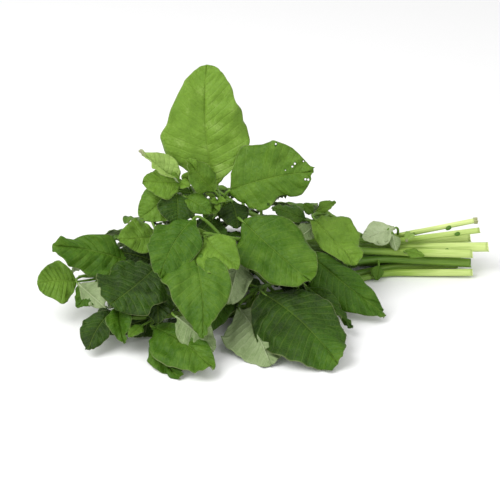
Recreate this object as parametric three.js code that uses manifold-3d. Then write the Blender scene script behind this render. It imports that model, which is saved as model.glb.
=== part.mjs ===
// A bunch of green amaranth, cut and laid on a table: twelve leafy stems lie side by side at their
// cut ends and spread into a mound of leaves, with one shoot standing up out of it.
// Millimetres, +Z up. The cut ends point along +X, and the mound is looked at from -Y.
// The origin is the spot where the lowest stem rests on the table.

import * as THREE from "three";
import Module from "manifold-3d";

const manifold = await Module();
manifold.setup();

const FRESH_GREEN = 0x5f8f32;
const LOOKED_AT_FROM_ABOVE = 27; // degrees over the table at which the front of the bunch is seen
const BLADE_THICKNESS = 0.7;
const LOBE_LENGTH = 0.12; // of a lobe in a blade's margin, over the blade's length
const CLEARANCE = 0.8; // free space that a new leaf keeps on each side
const STRAIGHT_SHARE = 0.22; // the share of a stem's run that lies straight, from its cut end to the neck
const TIP_RADIUS = 1.2; // of a stem, under its bud
const STEM_SIDES = 6;
const TABLE_SOFTNESS = 1; // how gently a leaf that meets the table bends along it
const LOWEST_BLADE = 0.2; // height of the middle of a blade that lies on the table
const STEM_SETTLES = 0.5; // how far a stem that lies on the table is flattened
const GOLDEN_TURN = 137.5; // degrees from one leaf to the next around a stem

const vec = (p) => new THREE.Vector3(...p);
const rad = THREE.MathUtils.degToRad;
const chance = (n) => {
  const s = Math.sin(n * 12.9898 + 4.1414) * 43758.5453;
  return s - Math.floor(s);
};

// The stems: where each is cut, where it passes the neck, how it leans and where its tip is.
// "placed" leaves are those seen from the front. "sprouts" says how many more grow by rule,
// how long the longest is, and from which share of the stem they start.

const plants = [
  {
    name: "leafy_stem_upright",
    radius: 4.0,
    end: [188, 45, 24],
    neck: [114, 50, 21],
    lean: [-10, 30, 25],
    tip: [-35, 2, 92],
    sprouts: { count: 8, longest: 62, from: 0.42, turn: 200 },
    placed: [
      {
        base: [-36, 8, 95], tip: [-43, 28, 191], width: 66, face: [0.05, -1, 0.3], bend: 10, fold: 12,
        wave: 0.025, phase: 4.2, twist: 6, sway: -0.05, foot: 1.5, head: 0.5, uneven: 0.0,
        lobes: [[-1, 0.39, 4], [1, 0.4, 1.5]],
      },
      {
        base: [-25, -1, 97], tip: [40, -5, 115], width: 52, face: [0.1, -0.9, 0.4], bend: 14, fold: 8,
        wave: 0.03, phase: 2.4, twist: -14, sway: -0.04, foot: 0.75, head: 0.75, uneven: -0.05,
        lobes: [[-1, 0.22, 6], [-1, 0.82, 4], [1, 0.55, -8], [1, 0.82, 3]],
      },
      { base: [-37, -3, 97], tip: [-58, -8, 127], width: 24, face: [0.3, -0.8, 0.4], bend: 10, fold: 25 },
      { base: [-32, -6, 90], tip: [-46, -16, 81], width: 13, face: [0, -0.6, 0.8], bend: 20, fold: 20 },
      { base: [-24, 6, 84], tip: [-20, -10, 68], width: 26, face: [0.2, -0.9, 0.4], bend: 20, fold: 15 },
      {
        base: [-15, -10, 74], tip: [37, -53, 43], width: 57, face: [0.2, -0.75, 0.65], bend: 18, fold: 8,
        wave: 0.04, phase: 1.2, twist: 10, sway: 0.02, foot: 1.2, head: 0.5, uneven: 0.0,
        lobes: [[1, 0.55, -4], [-1, 0.85, 2]],
      },
    ],
  },
  {
    name: "leafy_stem_upright_left",
    radius: 2.4,
    end: [181, 52, 36],
    neck: [114, 47, 29],
    lean: [0, 40, 52],
    tip: [-66, -4, 99],
    sprouts: { count: 6, longest: 48, from: 0.5, turn: 90 },
    placed: [
      {
        base: [-66, -2, 106], tip: [-96, -1, 131], width: 32, face: [0.5, -0.45, 0.8], bend: 12, fold: 45,
        wave: 0.03, phase: 3.6, twist: 10, sway: -0.05, foot: 0.9, head: 2.0,
      },
      { base: [-63, -4, 106], tip: [-93, -11, 109], width: 27, face: [-0.1, -0.7, 0.7], bend: 18, fold: 10 },
      { base: [-70, -7, 100], tip: [-95, -22, 83], width: 33, face: [-0.3, -0.9, 0.3], bend: 22, fold: 12 },
      { base: [-67, -10, 98], tip: [-67, -25, 79], width: 34, face: [0.2, -0.8, 0.6], bend: 24, fold: 14 },
      { base: [-60, -11, 96], tip: [-40, -20, 86], width: 18, face: [0.1, -0.8, 0.7], bend: 16, fold: 12 },
      { base: [-61, -3, 103], tip: [-53, -6, 116], width: 12, face: [0.2, -0.9, 0.3], bend: 10, fold: 10 },
    ],
  },
  {
    name: "leafy_stem_top_right",
    radius: 2.2,
    end: [178, 60, 41],
    neck: [114, 56, 29],
    lean: [80, 44, 42],
    tip: [48, 35, 63],
    sprouts: { count: 5, longest: 34, from: 0.4, turn: 20 },
    placed: [
      {
        base: [42, 16, 64], tip: [76, -8, 35], width: 36, face: [0.25, -0.7, 0.65], bend: 20, fold: 8,
        wave: 0.03, phase: 5.2, twist: 12, sway: 0.03, foot: 1.0, head: 0.5, uneven: -0.3,
        lobes: [[-1, 0.3, 2]],
      },
      { base: [36, 32, 55], tip: [8, 44, 58], width: 20, face: [0, -0.4, 0.9], bend: 12, fold: 10 },
      { base: [42, 15, 59], tip: [27, 2, 53], width: 16, face: [-0.2, 0.7, -0.7], bend: 12, fold: 10 },
      { base: [110, 48, 40], tip: [83, 38, 35], width: 23, face: [0.1, 0.7, -0.7], bend: 20, fold: 12 },
      { base: [108, 44, 36], tip: [111, 36, 25], width: 10, face: [0.1, 0.8, -0.5], bend: 16, fold: 12 },
      { base: [44, 33, 62], tip: [60, 33, 71], width: 11, face: [-0.3, -0.6, 0.7], bend: 16, fold: 16 },
      { base: [42, 34, 60], tip: [34, 36, 68], width: 10, face: [0, -0.7, 0.7], bend: 16, fold: 16 },
    ],
  },
  {
    name: "leafy_stem_centre",
    radius: 3.4,
    end: [174, 36, 22],
    neck: [114, 42, 21],
    lean: [20, 10, 40],
    tip: [-46, -38, 78],
    sprouts: { count: 8, longest: 56, from: 0.45, turn: 150 },
    placed: [
      {
        base: [-53, -33, 88], tip: [-78, -72, 57], width: 40, face: [-0.25, -0.8, 0.55], bend: 22, fold: 8,
        wave: 0.03, phase: 3.0, twist: 14, sway: 0.05, foot: 1.3, head: 0.6,
        lobes: [[-1, 0.35, 1], [1, 0.3, 2]],
      },
      {
        base: [-55, -47, 73], tip: [-45, -107, 24], width: 46, face: [0.0, -0.7, 0.7], bend: 26, fold: 10,
        wave: 0.04, phase: 0.6, twist: -8, sway: -0.05, foot: 1.5, head: 0.85, uneven: 0.0,
        lobes: [[1, 0.34, 8], [1, 0.62, 2]],
      },
      {
        base: [-44, -43, 76], tip: [-18, -66, 62], width: 36, face: [0.3, -0.75, 0.6], bend: 20, fold: 10,
        wave: 0.03, phase: 2.0, twist: 16, sway: 0.04, foot: 1.3, head: 0.75,
        lobes: [[1, 0.7, 3]],
      },
      {
        base: [-18, -22, 48], tip: [-27, -63, 29], width: 30, face: [0.15, 0.8, -0.5], bend: -14, fold: 12,
        wave: 0.04, phase: 4.0, twist: 10, sway: 0.02, foot: 1.2, head: 0.6,
      },
      { base: [118, 36, 24], tip: [134, 32, 22], width: 9, face: [0, -0.7, 0.7], bend: 14, fold: 16 },
    ],
  },
  {
    name: "leafy_stem_front_right",
    radius: 3.8,
    end: [174, 43, 10],
    neck: [114, 45, 12.6],
    lean: [40, 12, 20],
    tip: [-10, -36, 26],
    sprouts: { count: 8, longest: 58, from: 0.4, turn: 250 },
    placed: [
      {
        base: [33, -2, 46], tip: [98, -39, 6], width: 38, face: [-0.05, -0.6, 0.8], bend: 20, fold: 8,
        wave: 0.025, phase: 2.6, twist: -10, sway: 0.03, foot: 1.3, head: 0.75, uneven: 0.25,
      },
      {
        base: [1, -46, 29], tip: [56, -114, 6], width: 64, face: [0.12, -0.55, 0.85], bend: 24, fold: 6,
        wave: 0.045, phase: 5.6, twist: 10, sway: -0.03, foot: 0.8, head: 0.5, uneven: 0.1,
        lobes: [[-1, 0.82, 2], [1, 0.6, 3]],
      },
      {
        base: [-18, -47, 16], tip: [6, -110, 3], width: 50, face: [0.1, 0.6, -0.8], bend: -12, fold: 8,
        wave: 0.04, phase: 1.0, twist: 6, sway: 0.03, foot: 1.3, head: 0.55, uneven: 0.0,
        lobes: [[-1, 0.4, 1], [-1, 0.75, 2]],
      },
      { base: [97, 34, 12], tip: [95, 27, 2], width: 12, face: [0.2, -0.8, 0.5], bend: 14, fold: 16 },
      { base: [33, -28, 28], tip: [70, -63, 8], width: 16, face: [0.3, -0.5, 0.8], bend: 18, fold: 20 },
    ],
  },
  {
    name: "leafy_stem_front_low",
    radius: 3.0,
    end: [175, 36, 4.6],
    neck: [114, 38, 3.2],
    lean: [20, -30, 3],
    tip: [-103, -68, 20],
    sprouts: { count: 8, longest: 52, from: 0.45, turn: 320 },
    placed: [
      {
        base: [-84, -77, 17], tip: [-37, -126, 8], width: 40, face: [0.25, -0.55, 0.8], bend: 24, fold: 10,
        wave: 0.03, phase: 2.2, twist: 12, sway: -0.04, foot: 1.4, head: 0.42, uneven: 0.28,
      },
      {
        base: [-83, -79, 8], tip: [-61, -127, 1], width: 23, face: [-0.2, -0.7, 0.7], bend: 20, fold: 12,
        wave: 0.03, phase: 0.4, twist: -10, sway: 0.05, foot: 1.4, head: 0.55,
      },
      { base: [-66, -84, 30], tip: [-37, -107, 15], width: 28, face: [0.1, 0.5, -0.85], bend: -14, fold: 10 },
      {
        base: [-116, -65, 24], tip: [-132, -96, 8], width: 27, face: [-0.2, -0.6, 0.8], bend: 22, fold: 10,
        wave: 0.05, phase: 5.0, twist: 18, sway: 0.05, foot: 1.2, head: 0.6,
      },
      {
        base: [-110, -66, 28], tip: [-105, -92, 11], width: 28, face: [0, -0.7, 0.7], bend: 16, fold: 45,
        wave: 0.03, phase: 1.5, twist: -12, sway: 0.04, foot: 1.3, head: 0.85,
      },
      { base: [-92, -80, 20], tip: [-101, -97, 20], width: 12, face: [-0.2, -0.7, 0.7], bend: 18, fold: 14 },
      { base: [-87, -65, 18], tip: [-112, -70, 10], width: 26, face: [-0.1, -0.7, 0.7], bend: 16, fold: 12 },
      { base: [-112, -58, 19], tip: [-129, -66, 7], width: 26, face: [-0.2, -0.7, 0.7], bend: 16, fold: 12 },
    ],
  },
  {
    name: "leafy_stem_left",
    radius: 3.8,
    end: [176, 55, 14],
    neck: [114, 54, 12.6],
    lean: [0, 14, 22],
    tip: [-145, -26, 34],
    sprouts: { count: 8, longest: 56, from: 0.5, turn: 60 },
    placed: [
      {
        base: [-82, -39, 50], tip: [-116, -78, 37], width: 58, face: [-0.3, -0.6, 0.75], bend: 14, fold: 10,
        wave: 0.05, phase: 3.4, twist: 22, sway: -0.05, foot: 1.2, head: 0.42, uneven: 0.0,
        lobes: [[1, 0.75, 8], [-1, 0.8, 7]],
      },
      {
        base: [-102, -20, 42], tip: [-163, -35, 65], width: 34, face: [0.05, -0.65, 0.75], bend: 14, fold: 8,
        wave: 0.035, phase: 1.2, twist: -10, sway: 0.04, foot: 1.2, head: 0.55, uneven: -0.15,
        lobes: [[-1, 0.8, 3]],
      },
      {
        base: [-146, -27, 30], tip: [-176, -39, 34], width: 34, face: [-0.2, -0.7, 0.7], bend: 14, fold: 10,
        wave: 0.05, phase: 4.4, twist: 14, sway: 0.04, foot: 1.2, head: 0.5, uneven: -0.05,
        lobes: [[-1, 0.5, 3], [1, 0.35, 2]],
      },
      { base: [-82, -11, 62], tip: [-113, -24, 66], width: 32, face: [-0.2, -0.7, 0.7], bend: 16, fold: 10 },
      { base: [-131, -36, 31], tip: [-145, -48, 18], width: 22, face: [-0.3, -0.8, 0.4], bend: 18, fold: 14 },
      { base: [-144, -38, 34], tip: [-122, -56, 22], width: 20, face: [0.1, 0.8, -0.5], bend: 14, fold: 14 },
      { base: [-77, -56, 48], tip: [-79, -80, 21], width: 32, face: [0, -0.8, 0.6], bend: 18, fold: 10 },
      { base: [-86, -18, 43], tip: [-114, -16, 50], width: 24, face: [-0.1, -0.8, 0.6], bend: 16, fold: 12 },
    ],
  },
  {
    name: "leafy_stem_table",
    radius: 4.0,
    end: [164, 54, 2.8],
    neck: [114, 48, 2.6],
    lean: [0, -11, -10],
    tip: [-90, -32, 10],
    sprouts: { count: 5, longest: 58, from: 0.45, turn: 100 },
    placed: [],
  },
  {
    name: "leafy_stem_back_left",
    radius: 3.7,
    end: [175, 62, 24],
    neck: [114, 58.5, 20.6],
    lean: [0, 50, 30],
    tip: [-102, 46, 33],
    sprouts: { count: 7, longest: 68, from: 0.42, turn: 10 },
    placed: [
      { base: [-110, 56, 34], tip: [-130, 82, 7], width: 46, face: [-0.3, 0.6, 0.75], bend: 22, fold: 10 },
      { base: [-91, 60, 40], tip: [-86, 108, 17], width: 52, face: [0, 0.7, 0.7], bend: 24, fold: 8 },
      { base: [-116, 40, 36], tip: [-150, 42, 18], width: 40, face: [-0.4, 0.3, 0.85], bend: 20, fold: 10 },
    ],
  },
  {
    name: "leafy_stem_back",
    radius: 3.8,
    end: [168, 67, 4.4],
    neck: [114, 58, 3.6],
    lean: [20, 60, 2],
    tip: [-60, 62, 22],
    sprouts: { count: 8, longest: 66, from: 0.42, turn: 70 },
    placed: [
      { base: [-66, 84, 26], tip: [-62, 130, 5], width: 48, face: [0, 0.6, 0.8], bend: 22, fold: 8 },
      { base: [-43, 80, 24], tip: [-16, 124, 5], width: 50, face: [0.15, 0.6, 0.8], bend: 20, fold: 10 },
      { base: [-78, 76, 24], tip: [-106, 108, 5], width: 44, face: [-0.3, 0.6, 0.8], bend: 24, fold: 8 },
    ],
  },
  {
    name: "leafy_stem_back_high",
    radius: 3.4,
    end: [166, 73, 14],
    neck: [114, 62.5, 12.4],
    lean: [30, 64, 20],
    tip: [-30, 58, 62],
    sprouts: { count: 6, longest: 64, from: 0.42, turn: 130 },
    placed: [
      { base: [-40, 70, 66], tip: [-52, 112, 36], width: 50, face: [-0.1, 0.7, 0.7], bend: 22, fold: 8 },
      { base: [-15, 72, 62], tip: [15, 116, 34], width: 52, face: [0.15, 0.7, 0.7], bend: 24, fold: 8 },
      { base: [2, 64, 54], tip: [46, 88, 36], width: 44, face: [0.3, 0.6, 0.75], bend: 20, fold: 10 },
    ],
  },
  {
    name: "leafy_stem_back_right",
    radius: 3.0,
    end: [160, 80, 3.6],
    neck: [114, 67.5, 3],
    lean: [70, 78, 2],
    tip: [10, 88, 20],
    sprouts: { count: 7, longest: 56, from: 0.35, turn: 190 },
    placed: [
      { base: [6, 104, 20], tip: [16, 138, 4], width: 40, face: [0.1, 0.6, 0.8], bend: 22, fold: 10 },
      { base: [24, 98, 22], tip: [56, 126, 5], width: 44, face: [0.2, 0.6, 0.8], bend: 20, fold: 8 },
      { base: [46, 92, 20], tip: [82, 106, 4], width: 36, face: [0.3, 0.5, 0.8], bend: 22, fold: 10 },
    ],
  },
];

// The small leaf tuft that ends each shoot.
const TUFT = { count: 2, length: 17, width: 9, opening: 38 };

// The mound's outline as seen from the front, in millimetres across and up the picture plane.
// Leaves that grow by rule stay inside it.
const MOUND_OUTLINE = [
  [-178, 18], [-164, 46], [-134, 52], [-112, 50], [-96, 64], [-98, 108], [-68, 114], [-56, 96],
  [-20, 110], [34, 100], [14, 72], [56, 72], [74, 58], [108, 52], [110, 30], [80, 20], [98, -4],
  [72, -14], [60, -52], [16, -52], [-32, -38], [-40, -58], [-70, -62], [-88, -36], [-140, -40],
  [-132, -8], [-160, 2],
];

// A stem's centre line, and its radius along it. share runs from 0 at the cut end to 1 at the tip.

function stemLine(plant) {
  const [end, neck, lean, tip] = [plant.end, plant.neck, plant.lean, plant.tip].map(vec);
  const onwards = neck.clone().add(neck.clone().sub(end).multiplyScalar(0.6));
  const straight = new THREE.LineCurve3(end, neck);
  const leaning = new THREE.CubicBezierCurve3(neck, onwards, lean, tip);
  const split = (share) =>
    share < STRAIGHT_SHARE
      ? [straight, share / STRAIGHT_SHARE]
      : [leaning, (share - STRAIGHT_SHARE) / (1 - STRAIGHT_SHARE)];
  const flatSide = Math.cos(Math.PI / STEM_SIDES); // from a stem's middle to its flat, over its radius
  return {
    at: (share) => {
      const [curve, t] = split(share);
      return restOnTable(curve.getPoint(t), stemRadius(plant, share) * flatSide - STEM_SETTLES);
    },
    along: (share) => {
      const [curve, t] = split(share);
      return curve.getTangent(t);
    },
  };
}

const stemRadius = (plant, share) =>
  plant.radius + (TIP_RADIUS - plant.radius) * Math.pow(share, 1.6);

// Keeps a height at or above the table, with a soft bend near it.
function restOnTable(point, lowest) {
  const over = point.z - lowest;
  point.z = lowest + 0.5 * (over + Math.sqrt(over * over + TABLE_SOFTNESS * TABLE_SOFTNESS));
  return point;
}

// A leaf: a stalk that curves out of the stem and a blade whose midrib is an arc from base to tip.
// The blade's outline is widest below its middle and blunt at its tip. Rows across the blade sweep
// forward as its side veins do, so that a row is a vein.

const outline = (leaf, t) =>
  Math.pow(Math.sin(Math.PI * Math.pow(t, 0.84)), leaf.foot + (leaf.head - leaf.foot) * t);
const rowEnd = (a) => a + 0.8 * a * (1 - a);

// How a leaf differs from its neighbours, unless its own line says: how much its blade twists, sways
// to one side and waves, and how its outline narrows towards its foot and its head.
const habit = (leaf, seed) => ({
  twist: 30 * (chance(seed + 6) - 0.5),
  sway: 0.1 * (chance(seed + 7) - 0.5),
  wave: 0.02 + 0.025 * chance(seed + 8),
  phase: 6.3 * chance(seed + 4),
  foot: 1.25 + 0.5 * chance(seed + 9),
  head: 0.5 + 0.3 * chance(seed + 10),
  uneven: 0.3 * (chance(seed + 11) - 0.5),
  lobes: [],
  ...leaf,
});

// How far a blade reaches out from its midrib: b tells the side. A lobe is a side, its place along
// the midrib, and how far it stands out; a notch stands in.
function reachOut(leaf, reach, b) {
  let out = (leaf.width / 2) * (1 + leaf.uneven * Math.sign(b)) * outline(leaf, reach);
  for (const [side, place, size] of leaf.lobes)
    if (side === Math.sign(b)) out += size * Math.exp(-Math.pow((reach - place) / LOBE_LENGTH, 2));
  return Math.abs(b) * Math.max(Math.min(1.5, leaf.width / 8), out);
}

function bladeOf(leaf) {
  const base = vec(leaf.base);
  const tip = vec(leaf.tip);
  const chord = tip.clone().sub(base);
  const length = chord.length();
  const ahead = chord.clone().normalize();
  const face = vec(leaf.face);
  face.addScaledVector(ahead, -face.dot(ahead)).normalize();
  const side = ahead.clone().cross(face);
  const bend = rad(Math.abs(leaf.bend) < 1 ? 1 : leaf.bend);
  const arcRadius = length / (2 * Math.sin(bend / 2));
  const fold = rad(leaf.fold);
  const half = leaf.width / 2;

  // The middle of the blade at a along the midrib and b across it, from -1 to 1.
  const at = (a, b) => {
    const reach = rowEnd(a);
    const t = a + (reach - a) * Math.pow(Math.abs(b), 1.2);
    const turn = bend / 2 - bend * t;
    const out = reachOut(leaf, reach, b);
    const flatOut = Math.sign(b) * out * Math.cos(fold);
    const flatUp =
      out * Math.sin(fold) -
      (0.2 * out * out) / half +
      leaf.wave * length * b * b * Math.sin(Math.PI * (3.2 * reach + 0.6 * Math.sign(b)) + leaf.phase);
    const roll = rad(leaf.twist) * (t - 0.5);
    const aside = flatOut * Math.cos(roll) - flatUp * Math.sin(roll) + 4 * leaf.sway * length * t * (1 - t);
    const up = flatOut * Math.sin(roll) + flatUp * Math.cos(roll);
    return base
      .clone()
      .addScaledVector(ahead, arcRadius * (Math.sin(bend / 2) - Math.sin(turn)) - up * Math.sin(turn))
      .addScaledVector(face, arcRadius * (Math.cos(turn) - Math.cos(bend / 2)) + up * Math.cos(turn))
      .addScaledVector(side, aside);
  };
  const start = ahead.clone().multiplyScalar(Math.cos(bend / 2)).addScaledVector(face, Math.sin(bend / 2));
  return { at, base, side, face, start, length };
}

// The rings of points around a leaf, from its root in the stem to its tip: the upper side from
// left to right, then the lower side back.
function leafRings(leaf, line, { rows, across, extra = 0 }) {
  const blade = bladeOf(leaf);
  const root = line.at(leaf.root);
  const stalkHalf = 0.9 + blade.length / 120 + extra;
  const elbow = blade.base.clone().addScaledVector(blade.start, -0.32 * blade.base.distanceTo(root));
  const stalk = new THREE.QuadraticBezierCurve3(root, elbow, blade.base);
  const rings = [];
  for (const t of leaf.kind === "placed" ? [0, 0.55] : [0]) {
    const middle = stalk.getPoint(t);
    const forward = stalk.getTangent(t);
    const sideways = blade.side.clone().addScaledVector(forward, -blade.side.dot(forward)).normalize();
    const up = sideways.clone().cross(forward);
    const ring = (sign) =>
      across.map((b) =>
        restOnTable(
          middle
            .clone()
            .addScaledVector(sideways, b * stalkHalf)
            .addScaledVector(up, sign * stalkHalf * (1 - 0.5 * Math.abs(b))),
          LOWEST_BLADE + sign * stalkHalf * (1 - 0.5 * Math.abs(b)),
        ),
      );
    rings.push([...ring(1), ...ring(-1).reverse()]);
  }
  for (const a of rows) {
    const upper = [];
    const lower = [];
    for (const b of across) {
      const middle = blade.at(a, b);
      const step = 0.02;
      const alongIt = blade.at(Math.min(1, a + step), b).sub(blade.at(Math.max(0, a - step), b));
      const acrossIt = blade.at(a, Math.min(1, b + step)).sub(blade.at(a, Math.max(-1, b - step)));
      const normal = acrossIt.cross(alongIt).normalize();
      const midribBelow = b === 0 ? 0.9 * (1 - a) : 0;
      const thick = BLADE_THICKNESS / 2 + extra;
      restOnTable(middle, LOWEST_BLADE + midribBelow * 0.6);
      upper.push(middle.clone().addScaledVector(normal, thick));
      lower.push(middle.clone().addScaledVector(normal, -thick - midribBelow));
    }
    rings.push([...upper, ...lower.reverse()]);
  }
  return rings;
}

// Closed solids from rings of points.

function lofted(rings, upperCount) {
  const count = rings[0].length;
  const triangles = [];
  const index = (i, j) => i * count + (j % count);
  for (let i = 0; i + 1 < rings.length; i++) {
    for (let j = 0; j < count; j++) {
      const [p, q, r, s] = [index(i, j), index(i, j + 1), index(i + 1, j + 1), index(i + 1, j)];
      // Upper and lower faces split along the same diagonals, so that a waved blade never crosses itself.
      const leftUpper = j < (upperCount - 1) / 2;
      const leftLower = j >= upperCount && j - upperCount >= (upperCount - 1) / 2;
      const falling = j < upperCount - 1 ? leftUpper : !leftLower;
      if (falling) triangles.push(p, q, s, q, r, s);
      else triangles.push(p, q, r, p, r, s);
    }
  }
  const last = index(rings.length - 1, 0);
  capRing(triangles, 0, count, upperCount, false);
  capRing(triangles, last, count, upperCount, true);
  return solid(rings.flat(), triangles);
}

function capRing(triangles, first, count, upperCount, forward) {
  if (upperCount * 2 === count) {
    for (let j = 0; j + 1 < upperCount; j++) {
      const [a, b, c, d] = [first + j, first + j + 1, first + count - 2 - j, first + count - 1 - j];
      if (forward) triangles.push(a, b, c, a, c, d);
      else triangles.push(c, b, a, d, c, a);
    }
    return;
  }
  for (let j = 1; j + 1 < count; j++) {
    if (forward) triangles.push(first, first + j, first + j + 1);
    else triangles.push(first, first + j + 1, first + j);
  }
}

function solid(points, triangles) {
  return new manifold.Manifold(
    new manifold.Mesh({
      numProp: 3,
      vertProperties: new Float32Array(points.flatMap((p) => [p.x, p.y, p.z])),
      triVerts: new Uint32Array(triangles),
    }),
  );
}

function stemSolid(plant) {
  const line = stemLine(plant);
  const rings = [];
  const stations = [0, STRAIGHT_SHARE, 0.32, 0.44, 0.57, 0.7, 0.83, 0.95, 0.98, 1];
  let up = new THREE.Vector3(0, 0, 1);
  for (const share of stations) {
    const forward = line.along(share);
    up.addScaledVector(forward, -up.dot(forward)).normalize();
    const sideways = forward.clone().cross(up);
    const bud = share > 0.96 ? 2.1 : 1;
    const r = stemRadius(plant, share) * (share === 1 ? 0.8 : bud);
    rings.push(
      Array.from({ length: STEM_SIDES }, (_, k) => {
        const angle = (2 * Math.PI * k) / STEM_SIDES + Math.PI / STEM_SIDES;
        return line
          .at(share)
          .addScaledVector(up, -r * Math.cos(angle))
          .addScaledVector(sideways, -r * Math.sin(angle));
      }),
    );
  }
  return lofted(rings, 0);
}

// Leaves that grow by rule.

const frontUp = [0, Math.sin(rad(LOOKED_AT_FROM_ABOVE)), Math.cos(rad(LOOKED_AT_FROM_ABOVE))];
const frontToward = [0, -Math.cos(rad(LOOKED_AT_FROM_ABOVE)), Math.sin(rad(LOOKED_AT_FROM_ABOVE))];
const seenFromFront = (p) => [p.x, p.dot(vec(frontUp)), p.dot(vec(frontToward))];

function insideOutline([x, y]) {
  let inside = false;
  MOUND_OUTLINE.forEach(([x1, y1], i) => {
    const [x2, y2] = MOUND_OUTLINE[(i + 1) % MOUND_OUTLINE.length];
    if (y1 > y !== y2 > y && x < x1 + ((y - y1) / (y2 - y1)) * (x2 - x1)) inside = !inside;
  });
  return inside;
}

const nearestShare = (line, point) => {
  let best = 0.1;
  for (let share = 0.1; share <= 0.98; share += 0.01)
    if (line.at(share).distanceTo(point) < line.at(best).distanceTo(point)) best = share;
  return best;
};

// The ways that a leaf placed by hand may give way to its neighbours: its tip moves along its face.
function waysOfPlaced(placed, line, seed) {
  const leaf = habit(placed, seed);
  const base = vec(leaf.base);
  const near = nearestShare(line, base);
  const root = Math.max(0.1, near - 0.0012 * line.at(near).distanceTo(base));
  const face = vec(leaf.face).normalize();
  return [0, 3, -3, 6, -6, 10, -10, 14, -14, 18, -18].map((give) => ({
    ...leaf,
    root,
    tip: vec(leaf.tip).addScaledVector(face, give).toArray(),
  }));
}

// The ways that a leaf may grow by rule: turned further around its stem, then smaller.
function waysOfSprout(plant, line, i, seed) {
  const { count, longest, from, turn } = plant.sprouts;
  const root = from + ((0.93 - from) * i) / (count - 1);
  const usual = longest * (0.6 + 0.5 * Math.sin(Math.PI * (0.2 + (0.75 * i) / count)));
  const size = usual * (0.85 + 0.3 * chance(seed));
  const ways = [];
  for (const share of [1, 0.8, 0.62])
    for (const swing of [0, 25, -25, 50, -50, 80, -80, 115, -115, 150])
      ways.push(sprout(plant, line, root, turn + GOLDEN_TURN * i + swing, size * share, seed));
  return ways;
}

function sprout(plant, line, root, angle, size, seed) {
  const from = line.at(root);
  const along = line.along(root);
  const up = new THREE.Vector3(0, 0, 1).addScaledVector(along, -along.z).normalize();
  const sideways = along.clone().cross(up);
  const out = up.multiplyScalar(Math.cos(rad(angle))).addScaledVector(sideways, Math.sin(rad(angle)));
  const stalk = along.clone().multiplyScalar(0.7).addScaledVector(out, 0.9).normalize();
  const blade = along.clone().multiplyScalar(0.55).addScaledVector(out, 0.9);
  blade.z -= 0.5;
  const base = from.clone().addScaledVector(stalk, 0.4 * size);
  const tip = base.clone().addScaledVector(blade.normalize(), size);
  base.z = Math.max(base.z, 2.5);
  tip.z = Math.max(tip.z, 2.5);
  const face = out.clone().multiplyScalar(0.5);
  face.z += 1;
  const leaf = {
    base: base.toArray(),
    tip: tip.toArray(),
    face: face.toArray(),
    width: size * (0.6 + 0.16 * chance(seed + 1)),
    bend: 14 + 26 * chance(seed + 2),
    fold: 4 + 14 * chance(seed + 3),
    root,
  };
  return habit(leaf, seed);
}

function waysOfTuft(plant, line, i, seed) {
  const ways = [];
  for (const share of [1, 0.75])
    for (const swing of [0, 30, -30, 60, -60]) {
      const size = TUFT.length * (0.7 + 0.6 * chance(seed)) * share;
      const along = line.along(1);
      const upright = new THREE.Vector3(0, 0.2, 1);
      const up = upright.addScaledVector(along, -along.dot(upright)).normalize();
      const angle = rad(GOLDEN_TURN * i + 40 + swing);
      const out = up
        .clone()
        .multiplyScalar(Math.cos(angle))
        .addScaledVector(along.clone().cross(up), Math.sin(angle));
      const opening = rad(TUFT.opening + 20 * i);
      const ahead = along.clone().multiplyScalar(Math.cos(opening)).addScaledVector(out, Math.sin(opening));
      const base = line.at(0.97).addScaledVector(out, 2).addScaledVector(ahead, 3);
      const leaf = {
        base: base.toArray(),
        tip: base.clone().addScaledVector(ahead, size).toArray(),
        face: along.clone().addScaledVector(out, -0.6).toArray(),
        width: (TUFT.width * size) / TUFT.length,
        bend: 20,
        fold: 18,
        root: 0.96,
      };
      ways.push(habit(leaf, seed));
    }
  return ways;
}

// Placing: a leaf takes the first of its ways that is clear of every stem and leaf so far.

const BLADE_ROWS_APART = 3; // rows at a blade's outer end that stay clear of its own plant's leaves
const FINE_ROWS = [0, 0.14, 0.36, 0.6, 0.84, 1];
const PLAIN_ROWS = [0, 0.3, 0.65, 1];
const TUFT_ROWS = [0, 0.45, 1];

const rowsOf = (leaf) =>
  leaf.kind === "placed" && leaf.width > 18 ? FINE_ROWS : leaf.kind === "tuft" ? TUFT_ROWS : PLAIN_ROWS;
const acrossOf = (leaf) => (leaf.kind === "placed" && leaf.width > 44 ? [-1, -0.55, 0, 0.55, 1] : [-1, 0, 1]);

const boxesMeet = (a, b) =>
  [0, 1, 2].every((k) => a.min[k] <= b.max[k] && b.min[k] <= a.max[k]);

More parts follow.
